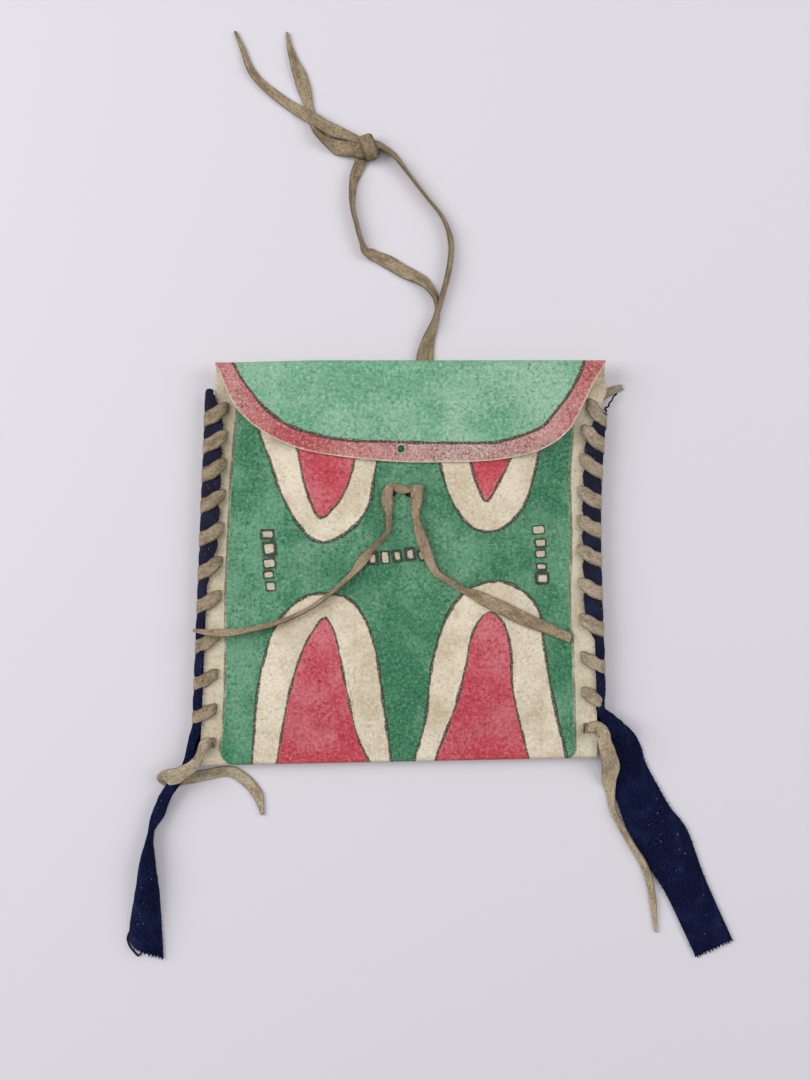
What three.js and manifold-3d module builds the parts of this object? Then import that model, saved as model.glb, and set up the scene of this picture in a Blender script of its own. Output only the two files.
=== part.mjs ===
// A parfleche envelope: one piece of rawhide folded into a flat pouch with a rounded flap, bound
// along both sides with folded wool and whip-stitched through both panels with a buckskin lace.
// Millimetres. +X is right and +Y is up the front, and +Z points out of the front.
// The origin is on the outer face of the back panel, and the pouch lies on its back.
import * as THREE from 'three';
import { mergeVertices } from 'three/addons/utils/BufferGeometryUtils.js';
import Module from 'manifold-3d';

const wasm = await Module();
wasm.setup();
const { clamp, lerp, smoothstep, degToRad } = THREE.MathUtils;

// Pouch
const HIDE = 1.2; // thickness of the rawhide
const TOP_FOLD = 82.7; // height of the top fold
const BOTTOM_FOLD = -83.3; // height of the bottom fold at its middle
const TOP_WIDTH = 161.6;
const BOTTOM_WIDTH = 165.1;
const TOP_MIDDLE = 3.4; // the hand-cut sides lean, so the two folds aren't above each other
const BOTTOM_MIDDLE = -1.5;
const BOTTOM_SLANT = 3.3; // the right end of the bottom fold is higher by this much
const RIGHT_HOLLOW = 4.1; // how far the right side curves in between its corners
const HOLLOW_POWER = 1.6; // above 1 that hollow is deepest above the middle
const SEAM_GAP = 1.0; // between the two panels along the lacing
const POCKET_GAP = 4.8; // between the two panels in the middle of the pocket
const SEAM_MARGIN = 9; // flat margin of the front panel along each side
const SIDE_RISE = 30; // width over which the front panel swells up from that margin
const BOTTOM_RISE = 34; // height over which it swells up from the bottom fold
const MOUTH_DROP = 8.5; // from the top fold down to the front panel's upper edge

// Flap
const FLAP_DEPTH = 41.6; // from the top fold to the tip
const FLAP_OUTLINE = [ // in half widths from the middle, and depths below the top fold
  [1, 0], [0.95, 0.14], [0.908, 0.284], [0.847, 0.51], [0.79, 0.7], [0.663, 0.875],
  [0.449, 0.974], [0.165, 1], [-0.05, 0.998], [-0.349, 0.945], [-0.577, 0.861],
  [-0.764, 0.709], [-0.875, 0.514], [-0.941, 0.288], [-0.98, 0.09], [-1, 0],
];
const FLAP_HOLE = 3.2; // diameter of the tie hole near its tip
const FLAP_HOLE_X = -0.4;
const FLAP_HOLE_RAISE = 5.5; // centre of that hole above the tip

// Wool binding
const WOOL = 1.0; // thickness of the cloth
const WOOL_WIDTH = 17; // width of the strip, laid flat
const WOOL_NOSE = 3.4; // how far the fold's middle layer stands outside the rawhide
const LEFT_WOOL_START = 11.5; // below the top fold
const RIGHT_WOOL_START = 21;
const FRONT_LIP = 3.0; // width of the wool on the front, at the top
const FRONT_LIP_LOW = 0.4; // and at the bottom of the seam
const LEFT_SEAM_STOP = 15.5; // above the bottom fold, where the left strip leaves the side
const RIGHT_SEAM_STOP = 22.0;

// Lacing and thongs
const LACE_WIDTH = 5.0;
const LACE = 1.2; // thickness
const LACE_PINCH = [2.0, 1.4]; // width and thickness where it is squeezed in a hole
const LACE_HOLE = 3.4; // diameter of the punched holes
const HOLE_INSET = 5.2; // from the side edge to a hole's centre
const STITCHES = 11;
const FIRST_HOLE = 18.2; // below the top fold
const LAST_HOLE_LEFT = 9.3; // above the bottom fold
const LAST_HOLE_RIGHT = 15.8;
const PITCH_POWER = 1.1; // the stitches spread out a little towards the bottom
const STITCH_SLOPE = 5.2; // drop of a stitch from its hole to the side edge
const TIE_HOLES = [[-4.5, 30.1], [3.3, 29.8]];
const HANGER_HOLES = [[4.6, 66], [13.4, 66]];

const CLEAR = 0.3; // gap between pieces that touch
const HINGE_GAP = 0.3; // slit between pouch and flap at the middle of the top fold

// Levels that follow from those sizes
const FRONT_SEAM = 2 * HIDE + SEAM_GAP; // outer face of the front panel at the seams
const SWELL = POCKET_GAP - SEAM_GAP;
const FLAP_OUTER = FRONT_SEAM + SWELL + CLEAR + HIDE;
const CREST = FLAP_OUTER / 2; // outer radius of the top fold
const TURN = FRONT_SEAM / 2; // outer radius of the bottom fold
const BACK_LAY = -(CLEAR + WOOL + CLEAR + LACE / 2); // middle of the lace behind the back panel
const TABLE = BACK_LAY - LACE / 2; // the surface that the pouch lies on
const MOUTH = TOP_FOLD - MOUTH_DROP;

// Outline of the pouch
const upShare = (y) => (y - BOTTOM_FOLD) / (TOP_FOLD - BOTTOM_FOLD);
const middleAt = (y) => lerp(BOTTOM_MIDDLE, TOP_MIDDLE, upShare(y));
const widthAt = (y) => lerp(BOTTOM_WIDTH, TOP_WIDTH, upShare(y));
const leftEdge = (y) => middleAt(y) - widthAt(y) / 2;
const hollowAt = (y) => RIGHT_HOLLOW * Math.sin(Math.PI * clamp(upShare(y), 0, 1) ** HOLLOW_POWER);
const rightEdge = (y) => middleAt(y) + widthAt(y) / 2 - hollowAt(y);
const sideEdge = (side, y) => (side < 0 ? leftEdge(y) : rightEdge(y));
const acrossAt = (share, y) => lerp(leftEdge(y), rightEdge(y), share);
const bottomAt = (share) => BOTTOM_FOLD + BOTTOM_SLANT * (share - 0.5);

// Height of the front panel's outer face
function frontFace(x, y) {
  const left = leftEdge(y);
  const right = rightEdge(y);
  const fromSide = Math.min(x - left, right - x);
  const fromBottom = y - bottomAt((x - left) / (right - left)) - TURN;
  const sideways = smoothstep(fromSide, SEAM_MARGIN, SEAM_MARGIN + SIDE_RISE);
  return FRONT_SEAM + SWELL * sideways * smoothstep(fromBottom, 0, BOTTOM_RISE);
}

const point = (x, y, z) => new THREE.Vector3(x, y, z);
const UP = point(0, 0, 1);
const ALONG = point(0, 1, 0);

// A closed solid between two grids of points. Its outer side faces along rows x columns.
function skin(outer, inner) {
  const rows = outer.length;
  const columns = outer[0].length;
  const positions = [...outer.flat(), ...inner.flat()].flatMap((p) => p.toArray());
  const triangles = [];
  const outside = (i, j) => i * columns + j;
  const inside = (i, j) => (rows + i) * columns + j;
  const quad = (a, b, c, d) => triangles.push(a, b, d, b, c, d);
  for (let i = 0; i + 1 < rows; i += 1) {
    for (let j = 0; j + 1 < columns; j += 1) {
      quad(outside(i, j), outside(i + 1, j), outside(i + 1, j + 1), outside(i, j + 1));
      quad(inside(i, j + 1), inside(i + 1, j + 1), inside(i + 1, j), inside(i, j));
    }
    const last = columns - 1;
    quad(inside(i, 0), inside(i + 1, 0), outside(i + 1, 0), outside(i, 0));
    quad(outside(i, last), outside(i + 1, last), inside(i + 1, last), inside(i, last));
  }
  for (let j = 0; j + 1 < columns; j += 1) {
    const last = rows - 1;
    quad(inside(0, j), outside(0, j), outside(0, j + 1), inside(0, j + 1));
    quad(outside(last, j), inside(last, j), inside(last, j + 1), outside(last, j + 1));
  }
  const geometry = new THREE.BufferGeometry();
  geometry.setAttribute('position', new THREE.Float32BufferAttribute(positions, 3));
  return geometry.setIndex(triangles);
}

// Direction of a line of points at each of them
function directions(points) {
  return points.map((p, i) => {
    const before = points[Math.max(i - 1, 0)];
    const after = points[Math.min(i + 1, points.length - 1)];
    return after.clone().sub(before).normalize();
  });
}

// A flat strap through stations, each with its point, the direction of its width, and its section
function strap(stations) {
  const heading = directions(stations.map((s) => s.at));
  const rows = stations.map(({ at, across, width, thick }, i) => {
    const side = across.clone().normalize();
    const face = heading[i].clone().cross(side).normalize();
    const edge = (half, level) => at.clone().addScaledVector(side, half).addScaledVector(face, level);
    const pair = (level) => [edge(-width / 2, level), edge(width / 2, level)];
    return { outer: pair(thick / 2), inner: pair(-thick / 2) };
  });
  return skin(rows.map((row) => row.outer), rows.map((row) => row.inner));
}

const THONG_STEPS = 2;

// A free thong along a smooth curve through hand-chosen points, lifted wherever it would sink into
// the surface below. Roll 0 lies flat and 90 stands on edge, or a fixed direction replaces it.
function thong(route, stepsPerSpan) {
  const curve = new THREE.CatmullRomCurve3(route.map((r) => point(...r.at)));
  const spans = route.length - 1;
  const steps = spans * stepsPerSpan;
  const across = route.map((r, i) => {
    if (r.across) return r.across.clone();
    const heading = curve.getTangent(i / spans);
    const level = heading.clone().cross(UP).normalize();
    return level.applyAxisAngle(heading, degToRad(r.roll ?? 0));
  });
  const stations = [];
  for (let step = 0; step <= steps; step += 1) {
    const span = Math.min(Math.floor(step / stepsPerSpan), spans - 1);
    const share = step / stepsPerSpan - span;
    const from = route[span];
    const to = route[span + 1];
    stations.push({
      at: curve.getPoint(step / steps),
      across: across[span].clone().lerp(across[span + 1], share),
      width: lerp(from.width ?? LACE_WIDTH, to.width ?? LACE_WIDTH, share),
      thick: lerp(from.thick ?? LACE, to.thick ?? LACE, share),
    });
  }
  directions(stations.map((s) => s.at)).forEach((heading, i) => {
    const { at, across: side, width, thick } = stations[i];
    side.normalize();
    const face = heading.cross(side).normalize();
    const below = (width * Math.abs(side.z) + thick * Math.abs(face.z)) / 2;
    at.setZ(Math.max(at.z, TABLE + below));
  });
  return strap(stations);
}

// Joining and cutting
function solidOf(geometry) {
  const bare = geometry.clone();
  bare.deleteAttribute('normal');
  bare.deleteAttribute('uv');
  const merged = mergeVertices(bare, 1e-4);
  return new wasm.Manifold(new wasm.Mesh({
    numProp: 3,
    vertProperties: new Float32Array(merged.attributes.position.array),
    triVerts: new Uint32Array(merged.index.array),
  }));
}

function geometryOf(solid) {
  const mesh = solid.getMesh();
  const geometry = new THREE.BufferGeometry();
  geometry.setAttribute('position', new THREE.BufferAttribute(mesh.vertProperties, 3));
  geometry.setIndex(new THREE.BufferAttribute(mesh.triVerts, 1));
  geometry.computeVertexNormals();
  return geometry;
}

// An upright round punch between two heights
function punch(x, y, diameter, low, high, sides = 8) {
  const round = new THREE.CylinderGeometry(diameter / 2, diameter / 2, high - low, sides);
  return solidOf(round.rotateX(Math.PI / 2).translate(x, y, (low + high) / 2));
}

// Rows of stitch holes
const lastHole = (side) => BOTTOM_FOLD + (side < 0 ? LAST_HOLE_LEFT : LAST_HOLE_RIGHT);
function holeAt(side, index) {
  const first = TOP_FOLD - FIRST_HOLE;
  const y = lerp(first, lastHole(side), (index / (STITCHES - 1)) ** PITCH_POWER);
  return { x: sideEdge(side, y) - side * HOLE_INSET, y };
}
const holesOf = (side) => Array.from({ length: STITCHES }, (_, index) => holeAt(side, index));
const stitchPunches = (side) =>
  holesOf(side).map(({ x, y }) => punch(x, y, LACE_HOLE, 2 * TABLE, 2 * FLAP_OUTER));

// Rawhide: front panel, bottom fold, back panel and the lower half of the top fold, in one sheet
const between = (from, to, steps) =>
  Array.from({ length: steps }, (_, k) => lerp(from, to, (k + 1) / steps));

function rawhideBody() {
  const margin = SEAM_MARGIN / BOTTOM_WIDTH;
  const risen = margin + SIDE_RISE / BOTTOM_WIDTH;
  const leftHalf = [0, margin, ...between(margin, risen, 4), ...between(risen, 0.5, 2)];
  const columns = [...leftHalf, ...leftHalf.slice(0, -1).reverse().map((share) => 1 - share)];
  const lowPart = 1 - BOTTOM_RISE / (MOUTH - BOTTOM_FOLD);
  const downShares = [0, ...between(0, lowPart, 4), ...between(lowPart, 1, 5)];
  const frontRows = downShares.map((down) => (share, depth) => {
    const y = lerp(MOUTH, bottomAt(share) + TURN, down);
    const x = acrossAt(share, y);
    return point(x, y, frontFace(x, y) - depth);
  });
  const turnRows = between(0, Math.PI, 6).map((angle) => (share, depth) => {
    const y = bottomAt(share) + TURN - (TURN - depth) * Math.sin(angle);
    return point(acrossAt(share, y), y, TURN + (TURN - depth) * Math.cos(angle));
  });
  const backRows = between(0, 1, 5).map((up) => (share, depth) => {
    const y = lerp(bottomAt(share) + TURN, TOP_FOLD - CREST, up);
    return point(acrossAt(share, y), y, depth);
  });
  const slit = HINGE_GAP / 2 / (CREST - HIDE);
  const crestRows = between(0, Math.PI / 2 - slit, 4).map((angle) => (share, depth) => {
    const y = TOP_FOLD - CREST + (CREST - depth) * Math.sin(angle);
    return point(acrossAt(share, y), y, CREST - (CREST - depth) * Math.cos(angle));
  });
  const rows = [...frontRows, ...turnRows, ...backRows, ...crestRows];
  const face = (depth) => rows.map((row) => columns.map((share) => row(share, depth)));
  const cuts = [
    ...stitchPunches(-1),
    ...stitchPunches(1),
    ...TIE_HOLES.map(([x, y]) => punch(x, y, LACE_HOLE, FLAP_OUTER / 2, 2 * FLAP_OUTER)),
    ...HANGER_HOLES.map(([x, y]) => punch(x, y, LACE_HOLE, TABLE, HIDE + SEAM_GAP)),
  ];
  return geometryOf(cuts.reduce((hide, cut) => hide.subtract(cut), solidOf(skin(face(0), face(HIDE)))));
}

// Flap: the upper half of the top fold and the tongue that lies over the mouth
function flapTongue() {
  const left = leftEdge(TOP_FOLD);
  const right = rightEdge(TOP_FOLD);
  const tip = TOP_FOLD - FLAP_DEPTH;
  const slit = HINGE_GAP / 2 / (CREST - HIDE);
  const crestRows = [slit, ...between(slit, Math.PI / 2, 4)].map((angle) => (depth) => [
    TOP_FOLD - CREST + (CREST - depth) * Math.cos(angle),
    CREST + (CREST - depth) * Math.sin(angle),
  ]);
  const tongueRow = (depth) => [tip - CREST, FLAP_OUTER - depth];
  const rows = [...crestRows, tongueRow];
  const face = (depth) => rows.map((row) => [left, right].map((x) => point(x, ...row(depth))));

  const rim = FLAP_OUTLINE.map(([sideways, down]) => new THREE.Vector2(
    (left + right) / 2 + ((right - left) / 2) * sideways,
    TOP_FOLD - FLAP_DEPTH * down,
  ));
  const facets = 45;
  const outline = new THREE.Shape([
    new THREE.Vector2(right, TOP_FOLD + CREST),
    ...new THREE.SplineCurve(rim).getPoints(facets),
    new THREE.Vector2(left, TOP_FOLD + CREST),
  ]);
  const cutter = new THREE.ExtrudeGeometry(outline, { depth: 3 * FLAP_OUTER, bevelEnabled: false });
  const tieHole = punch(FLAP_HOLE_X, tip + FLAP_HOLE_RAISE, FLAP_HOLE, CREST, 2 * FLAP_OUTER, 12);
  const sheet = solidOf(skin(face(0), face(HIDE)));
  return geometryOf(sheet.intersect(solidOf(cutter.translate(0, 0, -FLAP_OUTER))).subtract(tieHole));
}

// Wool strip, folded over the side edge of both panels, with its free tail below
const NOSE_HEIGHT = FRONT_SEAM / 2 + CLEAR + WOOL / 2; // half height of the fold's middle layer
const NOSE_LENGTH = Math.PI * Math.sqrt((WOOL_NOSE ** 2 + NOSE_HEIGHT ** 2) / 2);
const LIPS = WOOL_WIDTH - NOSE_LENGTH; // both flat legs together
const NOSE_STEPS = [0.5, 0.25, 0, -0.25, -0.5];

// The middle layer across a strip at one station. open is 0 folded and 1 flat, and roll turns the
// legs from lying inwards to pointing down.
function woolRow({ at, open, roll, lip, squeeze }, heading, side) {
  const inward = heading.clone().cross(UP).multiplyScalar(side).normalize();
  const turn = degToRad(roll);
  const legs = inward.clone().multiplyScalar(Math.cos(turn)).addScaledVector(UP, -Math.sin(turn));
  const stack = UP.clone().multiplyScalar(Math.cos(turn)).addScaledVector(inward, Math.sin(turn));
  const bend = Math.PI * (1 - Math.min(open, 0.99));
  const radius = NOSE_LENGTH / bend;
  const row = NOSE_STEPS.map((step) => {
    const angle = bend * step;
    return at.clone()
      .addScaledVector(legs, radius * (1 - Math.cos(angle)) * squeeze[0])
      .addScaledVector(stack, radius * Math.sin(angle) * squeeze[1]);
  });
  const leg = (sign, length) => row[sign > 0 ? 0 : row.length - 1].clone()
    .addScaledVector(legs, Math.sin(bend / 2) * length)
    .addScaledVector(stack, sign * Math.cos(bend / 2) * length);
  return [leg(1, lip), ...row, leg(-1, LIPS - lip)];
}

function woolStrip(side, seamTop, seamEnd, tail) {
  const seamSteps = 9;
  const seam = Array.from({ length: seamSteps + 1 }, (_, k) => {
    const y = lerp(seamTop, seamEnd, k / seamSteps);
    const lip = lerp(FRONT_LIP, FRONT_LIP_LOW, smoothstep(k / seamSteps, 0.45, 0.9));
    const at = point(sideEdge(side, y) + side * WOOL_NOSE, y, TURN);
    return { at, open: 0, roll: 0, lip, squeeze: SEAM_FOLD };
  });
  const corner = sideEdge(side, BOTTOM_FOLD);
  const free = tail.map(({ at: [out, up], ...rest }) => {
    const at = point(corner + side * out, BOTTOM_FOLD + up, TURN);
    return { at, lip: LIPS / 2, squeeze: [1, 1], ...rest };
  });
  const stations = [...seam, ...free];
  const heading = directions(stations.map((s) => s.at));
  const rows = stations.map((station, i) => {
    const row = woolRow(station, heading[i], side);
    if (station.lift === undefined) return row;
    const lowest = Math.min(...row.map((p) => p.z));
    return row.map((p) => p.setZ(p.z - lowest + TABLE + station.lift + WOOL / 2));
  });
  const face = (sign) => rows.map((row, i) => {
    const along = directions(row);
    return row.map((p, k) => p.clone().addScaledVector(
      heading[i].clone().cross(along[k]).normalize(),
      (sign * WOOL) / 2,
    ));
  });
  const strip = solidOf(skin(face(1), face(-1)));
  return geometryOf(stitchPunches(side).reduce((wool, cut) => wool.subtract(cut), strip));
}

// Tails of the wool strips, measured out and up from the pouch's lower corner on that side
const SEAM_FOLD = [WOOL_NOSE / (NOSE_LENGTH / Math.PI), NOSE_HEIGHT / (NOSE_LENGTH / Math.PI)];
const CLOSED = [1, 0.7];
const PINCHED = [1, 0.45];
const LEFT_TAIL = [
  { at: [3.4, 9.4], open: 0, roll: 0, lip: FRONT_LIP_LOW, squeeze: SEAM_FOLD },
  { at: [10.6, -2.6], open: 0, roll: 0, lift: 1.4, squeeze: CLOSED },
  { at: [16.0, -12.6], open: 0, roll: 14, lift: 1.4, squeeze: CLOSED },
  { at: [19.4, -22.4], open: 0, roll: 64, lift: 0.2, squeeze: CLOSED },
  { at: [21.2, -31.0], open: 0.02, roll: 88, lift: 0, squeeze: PINCHED },
  { at: [22.8, -42.0], open: 0.05, roll: 90, lift: 0, squeeze: CLOSED },
  { at: [23.2, -56.0], open: 0.2, roll: 90, lift: 0 },
  { at: [23.8, -70.0], open: 0.42, roll: 90, lift: 0 },
  { at: [24.0, -79.4], open: 0.55, roll: 90, lift: 0 },
];
const RIGHT_TAIL = [
  { at: [4.4, 18.8], open: 0, roll: 0, lip: 2.2, squeeze: SEAM_FOLD },
  { at: [7.8, 15.6], open: 0.16, roll: 30, lift: 0.2 },
  { at: [9.8, 12.0], open: 0.46, roll: 62, lift: 0.2 },
  { at: [11.0, 4.6], open: 0.8, roll: 84, lift: 0 },
  { at: [13.4, -4.0], open: 0.96, roll: 90, lift: 0 },
  { at: [19.1, -15.2], open: 1, roll: 90, lift: 0 },
  { at: [24.4, -24.5], open: 1, roll: 90, lift: 0 },
  { at: [29.4, -33.4], open: 1, roll: 90, lift: 0 },
  { at: [37.9, -51.6], open: 1, roll: 90, lift: 0 },
  { at: [50.6, -79.2], open: 1, roll: 90, lift: 0 },
];

// Whip stitches: out of a hole, over the edge and the wool, behind the back panel to the next hole
function stitches(side, beginning) {
  const holes = holesOf(side);
  const nose = WOOL_NOSE + WOOL / 2 + 2 * CLEAR + LACE / 2;
  const top = FRONT_SEAM + CLEAR + WOOL + CLEAR + LACE / 2;
  const full = LACE_WIDTH / Math.cos(Math.atan2(STITCH_SLOPE, HOLE_INSET + nose));
  const [pinchWidth, pinchThick] = LACE_PINCH;
  const strapAt = (out, y, z, width = full, thick = LACE) => ({
    at: point(sideEdge(side, y) + side * out, y, z),
    across: ALONG,
    width,
    thick,
  });
  const arrive = (y) => [
    strapAt(-HOLE_INSET + 1.9, y + 2.4, BACK_LAY),
    strapAt(-HOLE_INSET + 0.3, y + 0.4, BACK_LAY, pinchWidth),
  ];
  const rise = (y) => [
    strapAt(-HOLE_INSET, y, BACK_LAY + LACE, pinchWidth, pinchThick),
    strapAt(-HOLE_INSET, y, FRONT_SEAM + 0.3, pinchWidth, pinchThick),
    strapAt(-HOLE_INSET + 0.9, y - 0.3, FRONT_SEAM + 1.6, pinchWidth + 1.4, LACE),
  ];
  const over = (y) => [
    strapAt(-FRONT_LIP - 0.2, y - STITCH_SLOPE * 0.25, top),
    strapAt(-0.2, y - STITCH_SLOPE * 0.6, top),
    ...[45, 0, -45].map((degrees, k) => {
      const angle = degToRad(degrees);
      const level = lerp(BACK_LAY, top, (1 + Math.sin(angle)) / 2);
      return strapAt(nose * Math.cos(angle), y - STITCH_SLOPE * (0.8 + 0.2 * k), level);
    }),
    strapAt(-0.2, y - STITCH_SLOPE * 1.4, BACK_LAY),
  ];
  const run = holes.flatMap(({ y }, index) => {
    const next = holes[index + 1];
    return next ? [...rise(y), ...over(y), ...arrive(next.y)] : rise(y);
  });
  return strap([...beginning(holes[0].y).map((station) => strapAt(...station)), ...run]);
}

// The left lace starts flat behind the back panel, and the right one shows its cut end at the top
const leftStart = (y) => [
  [-HOLE_INSET - 12, y + 2, BACK_LAY],
  [-HOLE_INSET - 3, y + 0.6, BACK_LAY],
  [-HOLE_INSET - 0.3, y, BACK_LAY, LACE_PINCH[0]],
];
const rightStart = (y) => [
  [7.4, y + 8.6, BACK_LAY],
  [0, y + 5.2, BACK_LAY],
  [-HOLE_INSET + 2.2, y + 2.4, BACK_LAY],
  [-HOLE_INSET + 0.3, y + 0.4, BACK_LAY, LACE_PINCH[0]],
];

// Tie on the front: down one hole, behind the panel, up the other, with both ends lying loose
const onFront = (x, y, more = {}) => ({ at: [x, y, frontFace(x, y) + CLEAR + LACE / 2 + 0.1], ...more });
const [pinchWide, pinchThin] = LACE_PINCH;
const inHole = ([x, y], level, across) => ({
  at: [x, y, level],
  across,
  width: pinchWide,
  thick: pinchThin,
});
const SIDEWAYS = point(1, 0, 0);
const panelTop = FRONT_SEAM + SWELL;
const bar = panelTop - HIDE - CLEAR - LACE / 2;
const TIE_ROUTE = [
  { at: [-85.9, -27.5, FLAP_OUTER - 0.9], width: 1.8 },
  { at: [-75.6, -29.1, FLAP_OUTER - 0.7], width: 2.6 },
  { at: [-61.7, -27.5, panelTop + 0.2], width: 3 },
  onFront(-48.9, -24.2, { width: 3.2 }),
  onFront(-37.4, -18.4, { width: 3.6 }),
  onFront(-24.9, -9.0, { width: 3.8 }),
  onFront(-18.1, -3.2, { width: 4 }),
  onFront(-13.1, 4.8, { width: 4.4 }),
  onFront(-6.9, 12.8),
  onFront(-5.6, 21.1),
  { at: [-4.8, 27.4, panelTop + 1.5], across: SIDEWAYS, width: 3.6 },
  inHole(TIE_HOLES[0], panelTop + 0.8, SIDEWAYS),
  inHole(TIE_HOLES[0], panelTop - HIDE, point(0.7, 0.7, 0)),
  { at: [TIE_HOLES[0][0] + 2.4, TIE_HOLES[0][1], bar - 0.3], across: ALONG, width: 2.4 },
  { at: [TIE_HOLES[1][0] - 2.4, TIE_HOLES[1][1], bar - 0.3], across: ALONG, width: 2.4 },
  inHole(TIE_HOLES[1], panelTop - HIDE, point(-0.7, 0.7, 0)),
  inHole(TIE_HOLES[1], panelTop + 0.8, point(-1, 0, 0)),
  { at: [4.2, 27.0, panelTop + 1.5], across: point(-1, 0, 0), width: 3.6 },
  onFront(5.8, 21.3),
  onFront(7.0, 14.1),
  onFront(9.9, 4.8, { width: 4 }),
  onFront(14.4, -5.0, { width: 3.8 }),
  onFront(24.6, -11.0, { width: 4.4 }),
  onFront(35.2, -15.9),
  onFront(46.7, -21.7, { width: 5.4 }),
  onFront(59.2, -27.0, { width: 4.6 }),
  onFront(69.6, -31.6, { width: 4.2 }),
];

// Hanging thong: through two holes in the back panel and out past the top fold, its ends knotted
const onTable = (x, y, more = {}) => ({ at: [x, y, TABLE], ...more });
const onEdge = (x, y, width = 4.2, roll = 80) => ({ at: [x, y, TABLE], width, roll });
const insideBar = HIDE + 2 * CLEAR + LACE / 2;
const [hangerIn, hangerOut] = HANGER_HOLES;
// The knot that ties its two ends together is drawn tight into one lump, and four strands leave it
const KNOT = { at: [-14.2, 173.2], halfWide: 4.2, halfLong: 5.4, halfHigh: 3.4, turn: 25 };
function knotLump(grow = 0) {
  const lump = new THREE.SphereGeometry(1, 16, 10);
  lump.scale(KNOT.halfWide + grow, KNOT.halfLong + grow, KNOT.halfHigh + grow);
  return lump.rotateZ(degToRad(KNOT.turn)).translate(...KNOT.at, TABLE + KNOT.halfHigh);
}
function hangerStrand(route) {
  return geometryOf(solidOf(thong(route, THONG_STEPS)).subtract(solidOf(knotLump(CLEAR))));
}
const fromKnot = (right, up, roll) => ({
  at: [KNOT.at[0] + right, KNOT.at[1] + up, TABLE + KNOT.halfHigh],
  width: 3.4,
  roll,
});

const HANGER_ROUTE = [
  fromKnot(-1.2, -1.8, 80),
  onEdge(-20.3, 161.2),
  onEdge(-21.9, 151.5),
  onEdge(-19.8, 140.2),
  onTable(-14.6, 130.3, { roll: 35 }),
  onTable(-7.4, 126.6),
  onTable(1.2, 121.6),
  onTable(8.6, 116.4, { roll: -20 }),
  onEdge(12.6, 109.8, 3.6, -80),
  onEdge(13.0, 103.4, 3.2, -80),
  onTable(9.8, 93.6, { width: 2.9 }),
  onTable(7.2, 84.4, { width: 2.9 }),
  onTable(5.4, 73.6, { width: 3.4 }),
  { at: [hangerIn[0], hangerIn[1] + 1.6, BACK_LAY + 0.2], across: point(-1, 0, 0), width: pinchWide },
  inHole(hangerIn, 0, point(-0.7, 0.7, 0)),
  inHole(hangerIn, HIDE + CLEAR, point(-0.3, 1, 0)),
  { at: [hangerIn[0] + 2.8, hangerIn[1], insideBar + 0.3], across: ALONG, width: pinchWide },
  { at: [hangerOut[0] - 2.8, hangerOut[1], insideBar + 0.3], across: ALONG, width: pinchWide },
  inHole(hangerOut, HIDE + CLEAR, point(0.3, 1, 0)),
  inHole(hangerOut, 0, point(0.7, 0.7, 0)),
  { at: [hangerOut[0], hangerOut[1] + 1.6, BACK_LAY + 0.2], across: SIDEWAYS, width: pinchWide },
  onTable(12.6, 73.6, { width: 3.4 }),
  onTable(11.0, 84.4, { width: 2.9 }),
  onTable(13.8, 93.6, { width: 2.9 }),
  onEdge(17.0, 104.0, 3.2),
  onEdge(18.6, 114.0, 3.8),
  onEdge(20.8, 125.9),
  onEdge(20.6, 135.1),
  onEdge(17.2, 143.9),
  onEdge(9.6, 153.6),
  onEdge(2.1, 163.3),
  onEdge(-3.6, 171.0),
  fromKnot(1.6, 1.0, 80),
];
const END_A_ROUTE = [
  fromKnot(-1.2, 2.0, 60),
  onTable(-26.6, 181.0, { roll: 10 }),
  onTable(-36.5, 184.4),
  onTable(-44.5, 190.2),
  onTable(-53.0, 196.1),
  onTable(-61.0, 202.8),
  onTable(-64.4, 208.2),
  onTable(-67.2, 215.8, { width: 4 }),
  onTable(-70.3, 223.0, { width: 1.6 }),
];
const OVER_END_A = TABLE + 1.5 * LACE + 2 * CLEAR;
const END_B_ROUTE = [
  fromKnot(-1.4, -0.4, 10),
  onTable(-28.0, 174.8),
  { at: [-33.0, 178.2, OVER_END_A] },
  { at: [-36.6, 184.6, OVER_END_A] },
  { at: [-39.4, 192.2, OVER_END_A] },
  onTable(-41.2, 199.6, { width: 6.4 }),
  onTable(-43.4, 206.2),
  onTable(-46.8, 214.8),
  onTable(-48.4, 222.4, { width: 1.6 }),
];

// Loose ends of the lacing, from the last hole on each side
const leftLast = holeAt(-1, STITCHES - 1);
const LEFT_LACE_ROUTE = [
  { at: [leftLast.x - 1.2, leftLast.y - 1.4, FRONT_SEAM + 2.6], width: 3.6 },
  { at: [-83.4, -79.6, FRONT_SEAM + 2.4], width: 3.6 },
  { at: [-86.6, -84.8, FRONT_SEAM + 2.6], width: 3.8 },
  { at: [-91.6, -87.7, FRONT_SEAM + 2.6], width: 4.8 },
  { at: [-98.2, -89.9, FRONT_SEAM + 1.8], width: 4.6 },
  { at: [-101.7, -91.3, 0.6], width: 4.4 },
  onTable(-97.4, -92.2, { width: 4.4 }),
  onTable(-90.6, -91.6, { width: 4.2 }),
  onTable(-81.6, -89.6, { width: 4.4 }),
  onTable(-72.4, -88.4, { width: 4.4 }),
  onTable(-66.1, -91.8, { width: 4.4 }),
  onTable(-60.6, -98.3, { width: 4 }),
  onTable(-58.4, -106.6, { width: 1.6 }),
];
const rightLast = holeAt(1, STITCHES - 1);
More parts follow.
